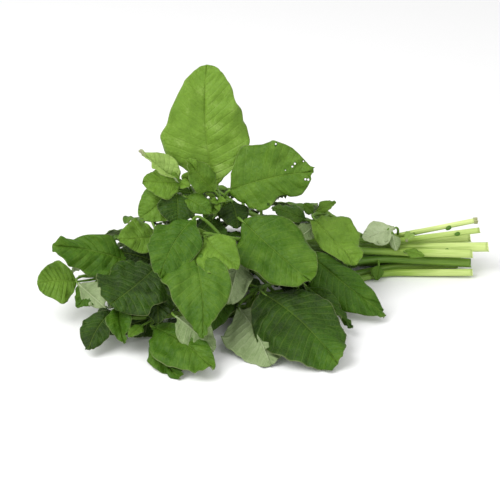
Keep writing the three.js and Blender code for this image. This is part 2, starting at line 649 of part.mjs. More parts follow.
function placeLeaves() {
  const taken = plants.map((plant, owner) => {
    const whole = stemSolid(plant);
    return { owner, whole, box: whole.boundingBox(), stem: true };
  });
  const shown = []; // blades placed by hand, as triangles seen from the front
  const lines = plants.map(stemLine);
  const grown = plants.map(() => []);

  // Leaves of one plant may meet where their stalks crowd together: only their blades keep apart.
  const clear = (whole, blade, owner) => {
    const box = whole.boundingBox();
    return !taken.some((other) => {
      if (!boxesMeet(box, other.box)) return false;
      if (other.owner === owner) return !other.stem && !blade.intersect(other.blade).isEmpty();
      return !whole.intersect(other.whole).isEmpty();
    });
  };

  const sampled = (leaf) => {
    const blade = bladeOf(leaf);
    const points = [];
    for (const a of [0, 0.25, 0.5, 0.75, 1])
      for (const b of [-1, -0.5, 0, 0.5, 1]) points.push(blade.at(a, b));
    return points;
  };

  // A rule-grown leaf may not hide a leaf placed by hand, nor show outside the mound.
  const outOfSight = (leaf) =>
    sampled(leaf).every((point) => {
      const [x, y, near] = seenFromFront(point);
      return insideOutline([x, y]) && !shown.some((t) => near > t.near && insideTriangle(x, y, t));
    });

  const takeFirstClear = (ways, owner, kind) => {
    for (const leaf of ways) {
      leaf.kind = kind;
      if (kind !== "placed" && !outOfSight(leaf)) continue;
      const across = acrossOf(leaf);
      const sized = (extra) => {
        const rings = leafRings(leaf, lines[owner], { rows: rowsOf(leaf), across, extra });
        return [lofted(rings, across.length), lofted(rings.slice(-BLADE_ROWS_APART), across.length)];
      };
      if (!clear(...sized(0.1), owner)) continue;
      const [whole, blade] = sized(CLEARANCE);
      taken.push({ owner, whole, blade, box: whole.boundingBox() });
      grown[owner].push(leaf);
      if (kind === "placed") shown.push(...shownTriangles(leaf));
      return;
    }
  };

  plants.forEach((plant, owner) =>
    plant.placed.forEach((leaf, i) =>
      takeFirstClear(waysOfPlaced(leaf, lines[owner], 500 + owner * 20 + i), owner, "placed"),
    ),
  );
  plants.forEach((plant, owner) => {
    for (let i = 0; i < TUFT.count; i++)
      takeFirstClear(waysOfTuft(plant, lines[owner], i, 1000 + owner * 10 + i), owner, "tuft");
  });
  const mostSprouts = Math.max(...plants.map((plant) => plant.sprouts.count));
  for (let i = 0; i < mostSprouts; i++)
    plants.forEach((plant, owner) => {
      if (i < plant.sprouts.count)
        takeFirstClear(waysOfSprout(plant, lines[owner], i, owner * 100 + i * 7), owner, "sprout");
    });
  return grown;
}

function shownTriangles(leaf) {
  const blade = bladeOf(leaf);
  const stations = [0, 0.2, 0.4, 0.6, 0.8, 1];
  const triangles = [];
  for (let i = 0; i + 1 < stations.length; i++)
    for (const [b0, b1] of [[-1, 0], [0, 1]]) {
      const [p, q, r, s] = [
        [stations[i], b0],
        [stations[i], b1],
        [stations[i + 1], b1],
        [stations[i + 1], b0],
      ].map(([a, b]) => seenFromFront(blade.at(a, b)));
      for (const corners of [[p, q, r], [p, r, s]])
        triangles.push({ corners, near: (corners[0][2] + corners[1][2] + corners[2][2]) / 3 });
    }
  return triangles;
}

function insideTriangle(x, y, { corners }) {
  const signs = corners.map(([x1, y1], i) => {
    const [x2, y2] = corners[(i + 1) % 3];
    return (x2 - x1) * (y - y1) - (y2 - y1) * (x - x1);
  });
  return signs.every((s) => s >= 0) || signs.every((s) => s <= 0);
}

// The nodes: one solid for each leafy stem, cut flat where it rests on the table.

function aboveTable(shape) {
  const size = 600;
  const slab = new THREE.BoxGeometry(size, size, size).translate(0, 0, size / 2).toNonIndexed();
  const corners = new Map();
  const points = [];
  const triangles = [];
  const p = slab.getAttribute("position");
  for (let i = 0; i < p.count; i++) {
    const key = [p.getX(i), p.getY(i), p.getZ(i)].join();
    if (!corners.has(key)) {
      corners.set(key, points.length);
      points.push(new THREE.Vector3(p.getX(i), p.getY(i), p.getZ(i)));
    }
    triangles.push(corners.get(key));
  }
  return shape.intersect(solid(points, triangles));
}

// Leaves out scraps cut loose from a plant, and closes the gaps sealed in where its stalks crowd.
function wholePiece(shape) {
  const pieces = shape.decompose();
  return pieces.reduce((largest, piece) => (piece.volume() > largest.volume() ? piece : largest));
}

function toMesh(shape, name) {
  const { vertProperties, triVerts, numProp } = shape.getMesh();
  const geometry = new THREE.BufferGeometry();
  const positions = new Float32Array((vertProperties.length / numProp) * 3);
  for (let i = 0; i < positions.length / 3; i++)
    positions.set(vertProperties.subarray(i * numProp, i * numProp + 3), i * 3);
  geometry.setAttribute("position", new THREE.BufferAttribute(positions, 3));
  geometry.setIndex(new THREE.BufferAttribute(triVerts, 1));
  geometry.computeVertexNormals();
  const skin = new THREE.MeshStandardMaterial({ color: FRESH_GREEN, roughness: 0.6, metalness: 0 });
  const mesh = new THREE.Mesh(geometry, skin);
  mesh.name = name;
  return mesh;
}

const bunch = new THREE.Group();
const grown = placeLeaves();
plants.forEach((plant, owner) => {
  const line = stemLine(plant);
  let shape = stemSolid(plant);
  for (const leaf of grown[owner]) {
    const detail = { rows: rowsOf(leaf), across: acrossOf(leaf) };
    shape = shape.add(lofted(leafRings(leaf, line, detail), detail.across.length));
  }
  bunch.add(toMesh(wholePiece(aboveTable(shape)), plant.name));
});

export default bunch;
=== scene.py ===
# A bunch of green amaranth, cut and laid on a table: twelve leafy stems lie side by side at their
# cut ends and spread into a mound of leaves, with one shoot standing up out of it.
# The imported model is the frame; every leafy stem is rebuilt here with its fine form and its skin.

import math
from functools import partial

import bmesh
import bpy
import numpy as np
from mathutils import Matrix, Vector, kdtree


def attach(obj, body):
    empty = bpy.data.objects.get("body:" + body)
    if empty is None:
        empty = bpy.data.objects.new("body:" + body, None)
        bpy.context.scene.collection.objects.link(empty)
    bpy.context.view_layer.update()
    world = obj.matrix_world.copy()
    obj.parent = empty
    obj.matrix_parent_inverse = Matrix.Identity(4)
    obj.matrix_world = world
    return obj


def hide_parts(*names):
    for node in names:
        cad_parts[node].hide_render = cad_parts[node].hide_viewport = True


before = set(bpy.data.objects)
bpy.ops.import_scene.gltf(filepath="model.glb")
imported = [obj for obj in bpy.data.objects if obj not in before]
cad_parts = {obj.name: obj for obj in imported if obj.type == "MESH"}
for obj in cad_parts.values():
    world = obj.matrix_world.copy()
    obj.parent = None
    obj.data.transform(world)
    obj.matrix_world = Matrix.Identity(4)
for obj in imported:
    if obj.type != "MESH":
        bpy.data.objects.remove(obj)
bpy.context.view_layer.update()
MM = 0.001


# The growing bunch
# Each leafy stem is one soft watery stalk, cut with a knife at its thick end and lying straight as
# far as the neck, where a hand held the bunch. Leaves leave it one by one, each a third of a turn or
# more round from the last. Lengths are in millimetres, in the frame of the part.

# Holes that an insect ate in one leaf: share of the way along, share of the way out, radius.
HOLES = [
    (0.73, -0.57, 0.9), (0.72, -0.4, 0.8), (0.66, -0.2, 0.4), (0.48, -0.92, 0.8),
    (0.81, 0.68, 0.9), (0.83, 0.83, 0.9), (0.8, -0.9, 0.6), (0.27, 0.9, 0.5),
]


def leaf(base, tip, width, face, bend, fold, tone, **form):
    """A blade from base to tip. It faces one way, is bent and folded by so many degrees, and has a
    tone from 0, dark, to 1, young, which is partly the leaf's own green and partly painted light and
    shade. Lobes are side, place along and size, a notch being below 0."""
    return dict(base=base, tip=tip, width=width, face=face, bend=bend, fold=fold, tone=tone, **form)


# A stem's tone runs from 0, green, to 1, pale, and is partly painted light and shade: stems low in the
# bunch are darker, and those on top paler. Its line runs from the cut end through the neck, leans
# towards a point and ends at the tip. Its small leaves follow a rule, and the others have places; the
# rule's tone is painted shade, lower for the small leaves deep in the mound.
plants = [
    dict(
        node="leafy_stem_upright",
        radius=4.0, tone=0.8, end=(188, 45, 24), neck=(114, 50, 21),
        lean=(-10, 30, 25), tip=(-35, 2, 92),
        sprouts=dict(count=8, longest=62, start=0.42, turn=200, tone=0.0),
        leaves=[
            leaf((-36, 8, 95), (-43, 28, 191), 66, (0.05, -1, 0.3), 10, 12, 0.97,
                 wave=0.025, phase=4.2, twist=6, sway=-0.05, foot=1.5, head=0.5, uneven=0.0,
                 lobes=[(-1, 0.39, 4), (1, 0.4, 1.5)]),
            leaf((-25, -1, 97), (40, -5, 115), 52, (0.1, -0.9, 0.4), 14, 8, 0.66,
                 wave=0.03, phase=2.4, twist=-14, sway=-0.04, foot=0.75, head=0.75, uneven=-0.05,
                 lobes=[(-1, 0.22, 6), (-1, 0.82, 4), (1, 0.55, -8), (1, 0.82, 3)],
                 finer_lobes=[(-1, 0.65, 4)], ragged=0.3, holes=HOLES),
            leaf((-37, -3, 97), (-58, -8, 127), 24, (0.3, -0.8, 0.4), 10, 25, 0.7),
            leaf((-32, -6, 90), (-46, -16, 81), 13, (0, -0.6, 0.8), 20, 20, 0.6),
            leaf((-24, 6, 84), (-20, -10, 68), 26, (0.2, -0.9, 0.4), 20, 15, 0.05),
            leaf((-15, -10, 74), (37, -53, 43), 57, (0.2, -0.75, 0.65), 18, 8, 0.53,
                 wave=0.04, phase=1.2, twist=10, sway=0.02, foot=1.2, head=0.5, uneven=0.0,
                 lobes=[(1, 0.55, -4), (-1, 0.85, 2)], paler=0.12),
        ],
    ),
    dict(
        node="leafy_stem_upright_left",
        radius=2.4, tone=0.7, end=(181, 52, 36), neck=(114, 47, 29),
        lean=(0, 40, 52), tip=(-66, -4, 99),
        sprouts=dict(count=6, longest=48, start=0.5, turn=90, tone=0.05),
        leaves=[
            leaf((-66, -2, 106), (-96, -1, 131), 32, (0.5, -0.45, 0.8), 12, 45, 1.25,
                 wave=0.03, phase=3.6, twist=10, sway=-0.05, foot=0.9, head=2.0, dry=0.8),
            leaf((-63, -4, 106), (-93, -11, 109), 27, (-0.1, -0.7, 0.7), 18, 10, 0.84),
            leaf((-70, -7, 100), (-95, -22, 83), 33, (-0.3, -0.9, 0.3), 22, 12, 0.74),
            leaf((-67, -10, 98), (-67, -25, 79), 34, (0.2, -0.8, 0.6), 24, 14, 0.15),
            leaf((-60, -11, 96), (-40, -20, 86), 18, (0.1, -0.8, 0.7), 16, 12, 0.6),
            leaf((-61, -3, 103), (-53, -6, 116), 12, (0.2, -0.9, 0.3), 10, 10, 0.85),
        ],
    ),
    dict(
        node="leafy_stem_top_right",
        radius=2.2, tone=0.9, end=(178, 60, 41), neck=(114, 56, 29),
        lean=(80, 44, 42), tip=(48, 35, 63),
        sprouts=dict(count=5, longest=34, start=0.4, turn=20, tone=0.25),
        leaves=[
            leaf((42, 16, 64), (76, -8, 35), 36, (0.25, -0.7, 0.65), 20, 8, 0.88,
                 wave=0.03, phase=5.2, twist=12, sway=0.03, foot=1.0, head=0.5, uneven=-0.3,
                 lobes=[(-1, 0.3, 2)]),
            leaf((36, 32, 55), (8, 44, 58), 20, (0, -0.4, 0.9), 12, 10, 0.5),
            leaf((42, 15, 59), (27, 2, 53), 16, (-0.2, 0.7, -0.7), 12, 10, 0.5),
            leaf((110, 48, 40), (83, 38, 35), 23, (0.1, 0.7, -0.7), 20, 12, 1.0),
            leaf((108, 44, 36), (111, 36, 25), 10, (0.1, 0.8, -0.5), 16, 12, 0.6),
            leaf((44, 33, 62), (60, 33, 71), 11, (-0.3, -0.6, 0.7), 16, 16, 0.8),
            leaf((42, 34, 60), (34, 36, 68), 10, (0, -0.7, 0.7), 16, 16, 0.7),
        ],
    ),
    dict(
        node="leafy_stem_centre",
        radius=3.4, tone=0.7, end=(174, 36, 22), neck=(114, 42, 21),
        lean=(20, 10, 40), tip=(-46, -38, 78),
        sprouts=dict(count=8, longest=56, start=0.45, turn=150, tone=-0.1),
        leaves=[
            leaf((-53, -33, 88), (-78, -72, 57), 40, (-0.25, -0.8, 0.55), 22, 8, 0.45,
                 wave=0.03, phase=3.0, twist=14, sway=0.05, foot=1.3, head=0.6,
                 lobes=[(-1, 0.35, 1), (1, 0.3, 2)]),
            leaf((-55, -47, 73), (-45, -107, 24), 46, (0.0, -0.7, 0.7), 26, 10, 0.55,
                 wave=0.04, phase=0.6, twist=-8, sway=-0.05, foot=1.5, head=0.85, uneven=0.0,
                 lobes=[(1, 0.34, 8), (1, 0.62, 2)]),
            leaf((-44, -43, 76), (-18, -66, 62), 36, (0.3, -0.75, 0.6), 20, 10, 0.84,
                 wave=0.03, phase=2.0, twist=16, sway=0.04, foot=1.3, head=0.75,
                 lobes=[(1, 0.7, 3)]),
            leaf((-18, -22, 48), (-27, -63, 29), 30, (0.15, 0.8, -0.5), -14, 12, 0.6,
                 wave=0.04, phase=4.0, twist=10, sway=0.02, foot=1.2, head=0.6),
            leaf((118, 36, 24), (134, 32, 22), 9, (0, -0.7, 0.7), 14, 16, 0.8),
        ],
    ),
    dict(
        node="leafy_stem_front_right",
        radius=3.8, tone=0.2, end=(174, 43, 10), neck=(114, 45, 12.6),
        lean=(40, 12, 20), tip=(-10, -36, 26),
        sprouts=dict(count=8, longest=58, start=0.4, turn=250, tone=-0.1),
        leaves=[
            leaf((33, -2, 46), (98, -39, 6), 38, (-0.05, -0.6, 0.8), 20, 8, 0.38,
                 wave=0.025, phase=2.6, twist=-10, sway=0.03, foot=1.3, head=0.75, uneven=0.25, paler=0.12),
            leaf((1, -46, 29), (56, -114, 6), 64, (0.12, -0.55, 0.85), 24, 6, 0.08,
                 wave=0.045, phase=5.6, twist=10, sway=-0.03, foot=0.8, head=0.5, uneven=0.1,
                 lobes=[(-1, 0.82, 2), (1, 0.6, 3)], paler=0.5),
            leaf((-18, -47, 16), (6, -110, 3), 50, (0.1, 0.6, -0.8), -12, 8, 0.62,
                 wave=0.04, phase=1.0, twist=6, sway=0.03, foot=1.3, head=0.55, uneven=0.0,
                 lobes=[(-1, 0.4, 1), (-1, 0.75, 2)]),
            leaf((97, 34, 12), (95, 27, 2), 12, (0.2, -0.8, 0.5), 14, 16, 0.6),
            leaf((33, -28, 28), (70, -63, 8), 16, (0.3, -0.5, 0.8), 18, 20, 0.2),
        ],
    ),
    dict(
        node="leafy_stem_front_low",
        radius=3.0, tone=0.75, end=(175, 36, 4.6), neck=(114, 38, 3.2),
        lean=(20, -30, 3), tip=(-103, -68, 20),
        sprouts=dict(count=8, longest=52, start=0.45, turn=320, tone=0.0),
        leaves=[
            leaf((-84, -77, 17), (-37, -126, 8), 40, (0.25, -0.55, 0.8), 24, 10, 0.45,
                 wave=0.03, phase=2.2, twist=12, sway=-0.04, foot=1.4, head=0.42, uneven=0.28, paler=0.3),
            leaf((-83, -79, 8), (-61, -127, 1), 23, (-0.2, -0.7, 0.7), 20, 12, 0.5,
                 wave=0.03, phase=0.4, twist=-10, sway=0.05, foot=1.4, head=0.55),
            leaf((-66, -84, 30), (-37, -107, 15), 28, (0.1, 0.5, -0.85), -14, 10, 0.4),
            leaf((-116, -65, 24), (-132, -96, 8), 27, (-0.2, -0.6, 0.8), 22, 10, 0.1,
                 wave=0.05, phase=5.0, twist=18, sway=0.05, foot=1.2, head=0.6),
            leaf((-110, -66, 28), (-105, -92, 11), 28, (0, -0.7, 0.7), 16, 45, 0.45,
                 wave=0.03, phase=1.5, twist=-12, sway=0.04, foot=1.3, head=0.85),
            leaf((-92, -80, 20), (-101, -97, 20), 12, (-0.2, -0.7, 0.7), 18, 14, 0.55),
            leaf((-87, -65, 18), (-112, -70, 10), 26, (-0.1, -0.7, 0.7), 16, 12, -0.1),
            leaf((-112, -58, 19), (-129, -66, 7), 26, (-0.2, -0.7, 0.7), 16, 12, -0.05),
        ],
    ),
    dict(
        node="leafy_stem_left",
        radius=3.8, tone=0.45, end=(176, 55, 14), neck=(114, 54, 12.6),
        lean=(0, 14, 22), tip=(-145, -26, 34),
        sprouts=dict(count=8, longest=56, start=0.5, turn=60, tone=0.0),
        leaves=[
            leaf((-82, -39, 50), (-116, -78, 37), 58, (-0.3, -0.6, 0.75), 14, 10, 0.12,
                 wave=0.05, phase=3.4, twist=22, sway=-0.05, foot=1.2, head=0.42, uneven=0.0,
                 lobes=[(1, 0.75, 8), (-1, 0.8, 7)]),
            leaf((-102, -20, 42), (-163, -35, 65), 34, (0.05, -0.65, 0.75), 14, 8, 0.52,
                 wave=0.035, phase=1.2, twist=-10, sway=0.04, foot=1.2, head=0.55, uneven=-0.15,
                 lobes=[(-1, 0.8, 3)]),
            leaf((-146, -27, 30), (-176, -39, 34), 34, (-0.2, -0.7, 0.7), 14, 10, 0.78,
                 wave=0.05, phase=4.4, twist=14, sway=0.04, foot=1.2, head=0.5, uneven=-0.05,
                 lobes=[(-1, 0.5, 3), (1, 0.35, 2)]),
            leaf((-82, -11, 62), (-113, -24, 66), 32, (-0.2, -0.7, 0.7), 16, 10, 0.8),
            leaf((-131, -36, 31), (-145, -48, 18), 22, (-0.3, -0.8, 0.4), 18, 14, 0.45),
            leaf((-144, -38, 34), (-122, -56, 22), 20, (0.1, 0.8, -0.5), 14, 14, 0.7),
            leaf((-77, -56, 48), (-79, -80, 21), 32, (0, -0.8, 0.6), 18, 10, 0.02),
            leaf((-86, -18, 43), (-114, -16, 50), 24, (-0.1, -0.8, 0.6), 16, 12, -0.1),
        ],
    ),
    dict(
        node="leafy_stem_table",
        radius=4.0, tone=0.4, end=(164, 54, 2.8), neck=(114, 48, 2.6),
        lean=(0, -11, -10), tip=(-90, -32, 10),
        sprouts=dict(count=5, longest=58, start=0.45, turn=100, tone=-0.05),
        leaves=[],
    ),
    dict(
        node="leafy_stem_back_left",
        radius=3.7, tone=0.8, end=(175, 62, 24), neck=(114, 58.5, 20.6),
        lean=(0, 50, 30), tip=(-102, 46, 33),
        sprouts=dict(count=7, longest=68, start=0.42, turn=10, tone=0.15),
        leaves=[
            leaf((-110, 56, 34), (-130, 82, 7), 46, (-0.3, 0.6, 0.75), 22, 10, 0.5),
            leaf((-91, 60, 40), (-86, 108, 17), 52, (0, 0.7, 0.7), 24, 8, 0.6),
            leaf((-116, 40, 36), (-150, 42, 18), 40, (-0.4, 0.3, 0.85), 20, 10, 0.45),
        ],
    ),
    dict(
        node="leafy_stem_back",
        radius=3.8, tone=0.4, end=(168, 67, 4.4), neck=(114, 58, 3.6),
        lean=(20, 60, 2), tip=(-60, 62, 22),
        sprouts=dict(count=8, longest=66, start=0.42, turn=70, tone=0.15),
        leaves=[
            leaf((-66, 84, 26), (-62, 130, 5), 48, (0, 0.6, 0.8), 22, 8, 0.55),
            leaf((-43, 80, 24), (-16, 124, 5), 50, (0.15, 0.6, 0.8), 20, 10, 0.4),
            leaf((-78, 76, 24), (-106, 108, 5), 44, (-0.3, 0.6, 0.8), 24, 8, 0.6),
        ],
    ),
    dict(
        node="leafy_stem_back_high",
        radius=3.4, tone=0.55, end=(166, 73, 14), neck=(114, 62.5, 12.4),
        lean=(30, 64, 20), tip=(-30, 58, 62),
        sprouts=dict(count=6, longest=64, start=0.42, turn=130, tone=0.15),
        leaves=[
            leaf((-40, 70, 66), (-52, 112, 36), 50, (-0.1, 0.7, 0.7), 22, 8, 0.7),
            leaf((-15, 72, 62), (15, 116, 34), 52, (0.15, 0.7, 0.7), 24, 8, 0.5),
            leaf((2, 64, 54), (46, 88, 36), 44, (0.3, 0.6, 0.75), 20, 10, 0.6),
        ],
    ),
    dict(
        node="leafy_stem_back_right",
        radius=3.0, tone=0.5, end=(160, 80, 3.6), neck=(114, 67.5, 3),
        lean=(70, 78, 2), tip=(10, 88, 20),
        sprouts=dict(count=7, longest=56, start=0.35, turn=190, tone=0.25),
        leaves=[
            leaf((6, 104, 20), (16, 138, 4), 40, (0.1, 0.6, 0.8), 22, 10, 0.45),
            leaf((24, 98, 22), (56, 126, 5), 44, (0.2, 0.6, 0.8), 20, 8, 0.65),
            leaf((46, 92, 20), (82, 106, 4), 36, (0.3, 0.5, 0.8), 22, 10, 0.5),
        ],
    ),
]

STRAIGHT_SHARE = 0.22  # of a stem's run, from its cut end to the neck
RUNS_ON = 0.6  # how far a stem's line aims on past the neck, over its straight part
TIP_RADIUS = 1.2
TAPER = 1.6  # over 1, so that a stem keeps its girth at first and thins towards its tip
STEM_SIDES = 6  # of the plain stems in the frame
STEM_SETTLES = 0.5  # how far a stem that lies on the table is flattened
TABLE_SOFTNESS = 1.0  # how gently what meets the table bends along it
UP = np.array((0, 0, 1.0))


def chance(n):
    """A seeded draw between 0 and 1."""
    s = math.sin(n * 12.9898 + 4.1414) * 43758.5453
    return s - math.floor(s)


def rest_on_table(points, lowest):
    """Bends what would sink under the lowest height, so that it lies along the table."""
    over = points[..., 2] - lowest
    points[..., 2] = lowest + 0.5 * (over + np.sqrt(over * over + TABLE_SOFTNESS**2))
    return points


def unit(v):
    return v / np.linalg.norm(v)


def stem_radius(plant, share):
    return plant["radius"] + (TIP_RADIUS - plant["radius"]) * share**TAPER


def stem_controls(plant):
    end, neck, lean, tip = (np.array(plant[k], float) for k in ("end", "neck", "lean", "tip"))
    return end, neck, neck + RUNS_ON * (neck - end), lean, tip


def stem_point(plant, share):
    """A point of the stem's middle, straight as far as the neck and curved from there on."""
    end, neck, onwards, lean, tip = stem_controls(plant)
    if share < STRAIGHT_SHARE:
        point = end + (neck - end) * share / STRAIGHT_SHARE
    else:
        t = (share - STRAIGHT_SHARE) / (1 - STRAIGHT_SHARE)
        point = (1 - t) ** 3 * neck + 3 * (1 - t) ** 2 * t * onwards + 3 * (1 - t) * t * t * lean + t**3 * tip
    flat_side = math.cos(math.pi / STEM_SIDES)
    return rest_on_table(point, stem_radius(plant, share) * flat_side - STEM_SETTLES)


def stem_direction(plant, share):
    end, neck, onwards, lean, tip = stem_controls(plant)
    if share < STRAIGHT_SHARE:
        return unit(neck - end)
    t = (share - STRAIGHT_SHARE) / (1 - STRAIGHT_SHARE)
    return unit((1 - t) ** 2 * (onwards - neck) + 2 * (1 - t) * t * (lean - onwards) + t * t * (tip - lean))


def outward(along, turn):
    """The way straight out from a stem, so many degrees round from its upper side."""
    up = unit(UP - along * along[2])
    angle = math.radians(turn)
    return up * math.cos(angle) + np.cross(along, up) * math.sin(angle)


# The leaf blades
# A blade is soft, thin and rhombic-ovate, widest below its middle, with a blunt tip. Its midrib is
# an arc from base to tip, and its side veins sweep forward. The skin swells a little between the
# veins, and the veins stand out beneath.

LOWEST_BLADE = 0.2  # height of the middle of a blade that lies on the table
WIDEST_LOW = 0.84  # below 1, so that a blade is widest below its middle
SWEEP = 0.8  # how far a side vein runs forward as it reaches out
LOBE_LENGTH = 0.12  # of a lobe in a blade's margin, over the blade's length
SLIMMEST = 1.5  # half a blade's width at its base and tip
ARCHING = 0.2  # how far the margin arches down, over half the blade's width


def outline(one, t):
    fullness = one["foot"] + (one["head"] - one["foot"]) * t
    return np.power(np.sin(np.pi * np.power(t, WIDEST_LOW)).clip(0, 1), fullness)


def habit(one, seed):
    """How a leaf differs from its neighbours, unless its own line says."""
    usual = dict(
        twist=30 * (chance(seed + 6) - 0.5),
        sway=0.1 * (chance(seed + 7) - 0.5),
        wave=0.02 + 0.025 * chance(seed + 8),
        phase=6.3 * chance(seed + 4),
        foot=1.25 + 0.5 * chance(seed + 9),
        head=0.5 + 0.3 * chance(seed + 10),
        uneven=0.3 * (chance(seed + 11) - 0.5),
        lobes=[],
    )
    return {**usual, **one}


def swept(a):
    """How far along the blade a side vein that leaves the midrib at a meets the margin."""
    return a + SWEEP * a * (1 - a)


def reach_out(one, reach, b):
    """How far a blade reaches out from its midrib, on the side that b tells, with its lobes."""
    out = one["width"] / 2 * (1 + one["uneven"] * np.sign(b)) * outline(one, reach)
    for side, place, size in one["lobes"]:
        lobe = size * np.exp(-(((reach - place) / LOBE_LENGTH) ** 2))
        out = out + np.where(np.sign(b) == side, lobe, 0)
    return np.abs(b) * np.maximum(min(SLIMMEST, one["width"] / 8), out)


def blade_axes(one):
    """A blade's base and length, the way ahead to its tip, and the way it faces."""
    base = np.array(one["base"], float)
    chord = np.array(one["tip"], float) - base
    length = np.linalg.norm(chord)
    ahead = chord / length
    face = np.array(one["face"], float)
    return base, length, ahead, unit(face - ahead * face.dot(ahead))


def blade_middle(one, a, b):
    """Points of the blade's middle, at a along its midrib and b across it, as in the frame's solids."""
    base, length, ahead, face = blade_axes(one)
    side = np.cross(ahead, face)
    bend = math.radians(one["bend"])
    arc_radius = length / (2 * math.sin(bend / 2))
    fold = math.radians(one["fold"])
    reach = swept(a)
    t = a + (reach - a) * np.abs(b) ** 1.2
    turn = bend / 2 - bend * t
    out = reach_out(one, reach, b)
    waves = np.sin(np.pi * (3.2 * reach + 0.6 * np.sign(b)) + one["phase"])
    arched = ARCHING * out * out / (one["width"] / 2)
    flat_out = np.sign(b) * out * math.cos(fold)
    flat_up = out * math.sin(fold) - arched + one["wave"] * length * b * b * waves
    roll = math.radians(one["twist"]) * (t - 0.5)
    across = flat_out * np.cos(roll) - flat_up * np.sin(roll) + 4 * one["sway"] * length * t * (1 - t)
    up = flat_out * np.sin(roll) + flat_up * np.cos(roll)
    along = arc_radius * (math.sin(bend / 2) - np.sin(turn)) - up * np.sin(turn)
    rise = arc_radius * (np.cos(turn) - math.cos(bend / 2)) + up * np.cos(turn)
    return base + along[..., None] * ahead + rise[..., None] * face + across[..., None] * side


def blade_normal(one, a, b, step=0.02):
    along = blade_middle(one, np.minimum(1, a + step), b) - blade_middle(one, np.maximum(0, a - step), b)
    across = blade_middle(one, a, np.minimum(1, b + step)) - blade_middle(one, a, np.maximum(-1, b - step))
    normal = np.cross(across, along)
    return normal / np.linalg.norm(normal, axis=-1, keepdims=True)


# The leaves that grow by rule
# Small leaves stand a golden turn apart round each stem, and two close its tip. A leaf in another's
# way is turned aside or stays shorter. The way that was taken is found among the frame's own
# vertices, so every fine leaf stands where its solid is.

GOLDEN_TURN = 137.5
STALK_RUNS_BACK = 0.0012  # of the stem's run, for each millimetre between it and a blade's base
LOWEST_ROOT = 0.1  # of the stem's run
HIGHEST_SPROUT = 0.93
HIGHEST_ROOT = 0.98
LOWEST_TIP = 2.5
TUFT = dict(count=2, length=17, width=9, opening=38, root=0.96)
FRAME_THICKNESS = 0.7  # of the frame's blades
FRAME_RIB = 0.54  # how much higher the base of a midrib lies on the table, in the frame
BROAD_ROWS = (0.36, 0.6, 0.84, 1.0)  # where along a broad blade the frame has points
NARROW_ROWS = (0.3, 0.65, 1.0)
TUFT_ROWS = (0.45, 1.0)
BROAD_FROM = 18
FOUND_WITHIN = 0.03  # of one of those points


def ways_of_placed(plant, one, seed):
    """A leaf with a place of its own gives way by moving its tip up or down."""
    one = habit(one, seed)
    base = np.array(one["base"], float)
    near = share = LOWEST_ROOT
    while share <= HIGHEST_ROOT:
        if np.linalg.norm(stem_point(plant, share) - base) < np.linalg.norm(stem_point(plant, near) - base):
            near = share
        share += 0.01
    stalk = np.linalg.norm(stem_point(plant, near) - base)
    root = max(LOWEST_ROOT, near - STALK_RUNS_BACK * stalk)
    face = unit(np.array(one["face"], float))
    for give in (0, 3, -3, 6, -6, 10, -10, 14, -14, 18, -18):
        yield dict(one, root=root, tip=np.array(one["tip"], float) + give * face)


def ways_of_sprout(plant, i, seed):
    """A small leaf is longest at the middle of its stem. It swings round the stem, or stays shorter."""
    # The rule's tone paints the small leaves deep in the mound darker: painted shade.
    rule = plant["sprouts"]
    root = rule["start"] + (HIGHEST_SPROUT - rule["start"]) * i / (rule["count"] - 1)
    usual = rule["longest"] * (0.6 + 0.5 * math.sin(math.pi * (0.2 + 0.75 * i / rule["count"])))
    along = stem_direction(plant, root)
    for share in (1, 0.8, 0.62):
        size = usual * (0.85 + 0.3 * chance(seed)) * share
        for swing in (0, 25, -25, 50, -50, 80, -80, 115, -115, 150):
            out = outward(along, rule["turn"] + GOLDEN_TURN * i + swing)
            base = stem_point(plant, root) + 0.4 * size * unit(0.7 * along + 0.9 * out)
            tip = base + size * unit(0.55 * along + 0.9 * out - 0.5 * UP)
            base[2] = max(base[2], LOWEST_TIP)
            tip[2] = max(tip[2], LOWEST_TIP)
            one = dict(
                base=base,
                tip=tip,
                face=0.5 * out + UP,
                width=size * (0.6 + 0.16 * chance(seed + 1)),
                bend=14 + 26 * chance(seed + 2),
                fold=4 + 14 * chance(seed + 3),
                root=root,
                tone=rule["tone"] + 0.4 * chance(seed + 5),
            )
            yield habit(one, seed)


def ways_of_tuft(plant, i, seed):
    """A tip's leaf opens from the bud. It swings round the tip, or stays shorter."""
    along = stem_direction(plant, 1)
    upright = np.array((0, 0.2, 1.0))
    up = unit(upright - along * along.dot(upright))
    for share in (1, 0.75):
        size = TUFT["length"] * (0.7 + 0.6 * chance(seed)) * share
        for swing in (0, 30, -30, 60, -60):
            angle = math.radians(GOLDEN_TURN * i + 40 + swing)
            out = up * math.cos(angle) + np.cross(along, up) * math.sin(angle)
            opening = math.radians(TUFT["opening"] + 20 * i)
            ahead = along * math.cos(opening) + out * math.sin(opening)
            base = stem_point(plant, 0.97) + 2 * out + 3 * ahead
            one = dict(
                base=base,
                tip=base + size * ahead,
                face=along - 0.6 * out,
                width=TUFT["width"] * size / TUFT["length"],
                bend=20,
                fold=18,
                root=TUFT["root"],
                tone=0.85,
            )
            yield habit(one, seed)


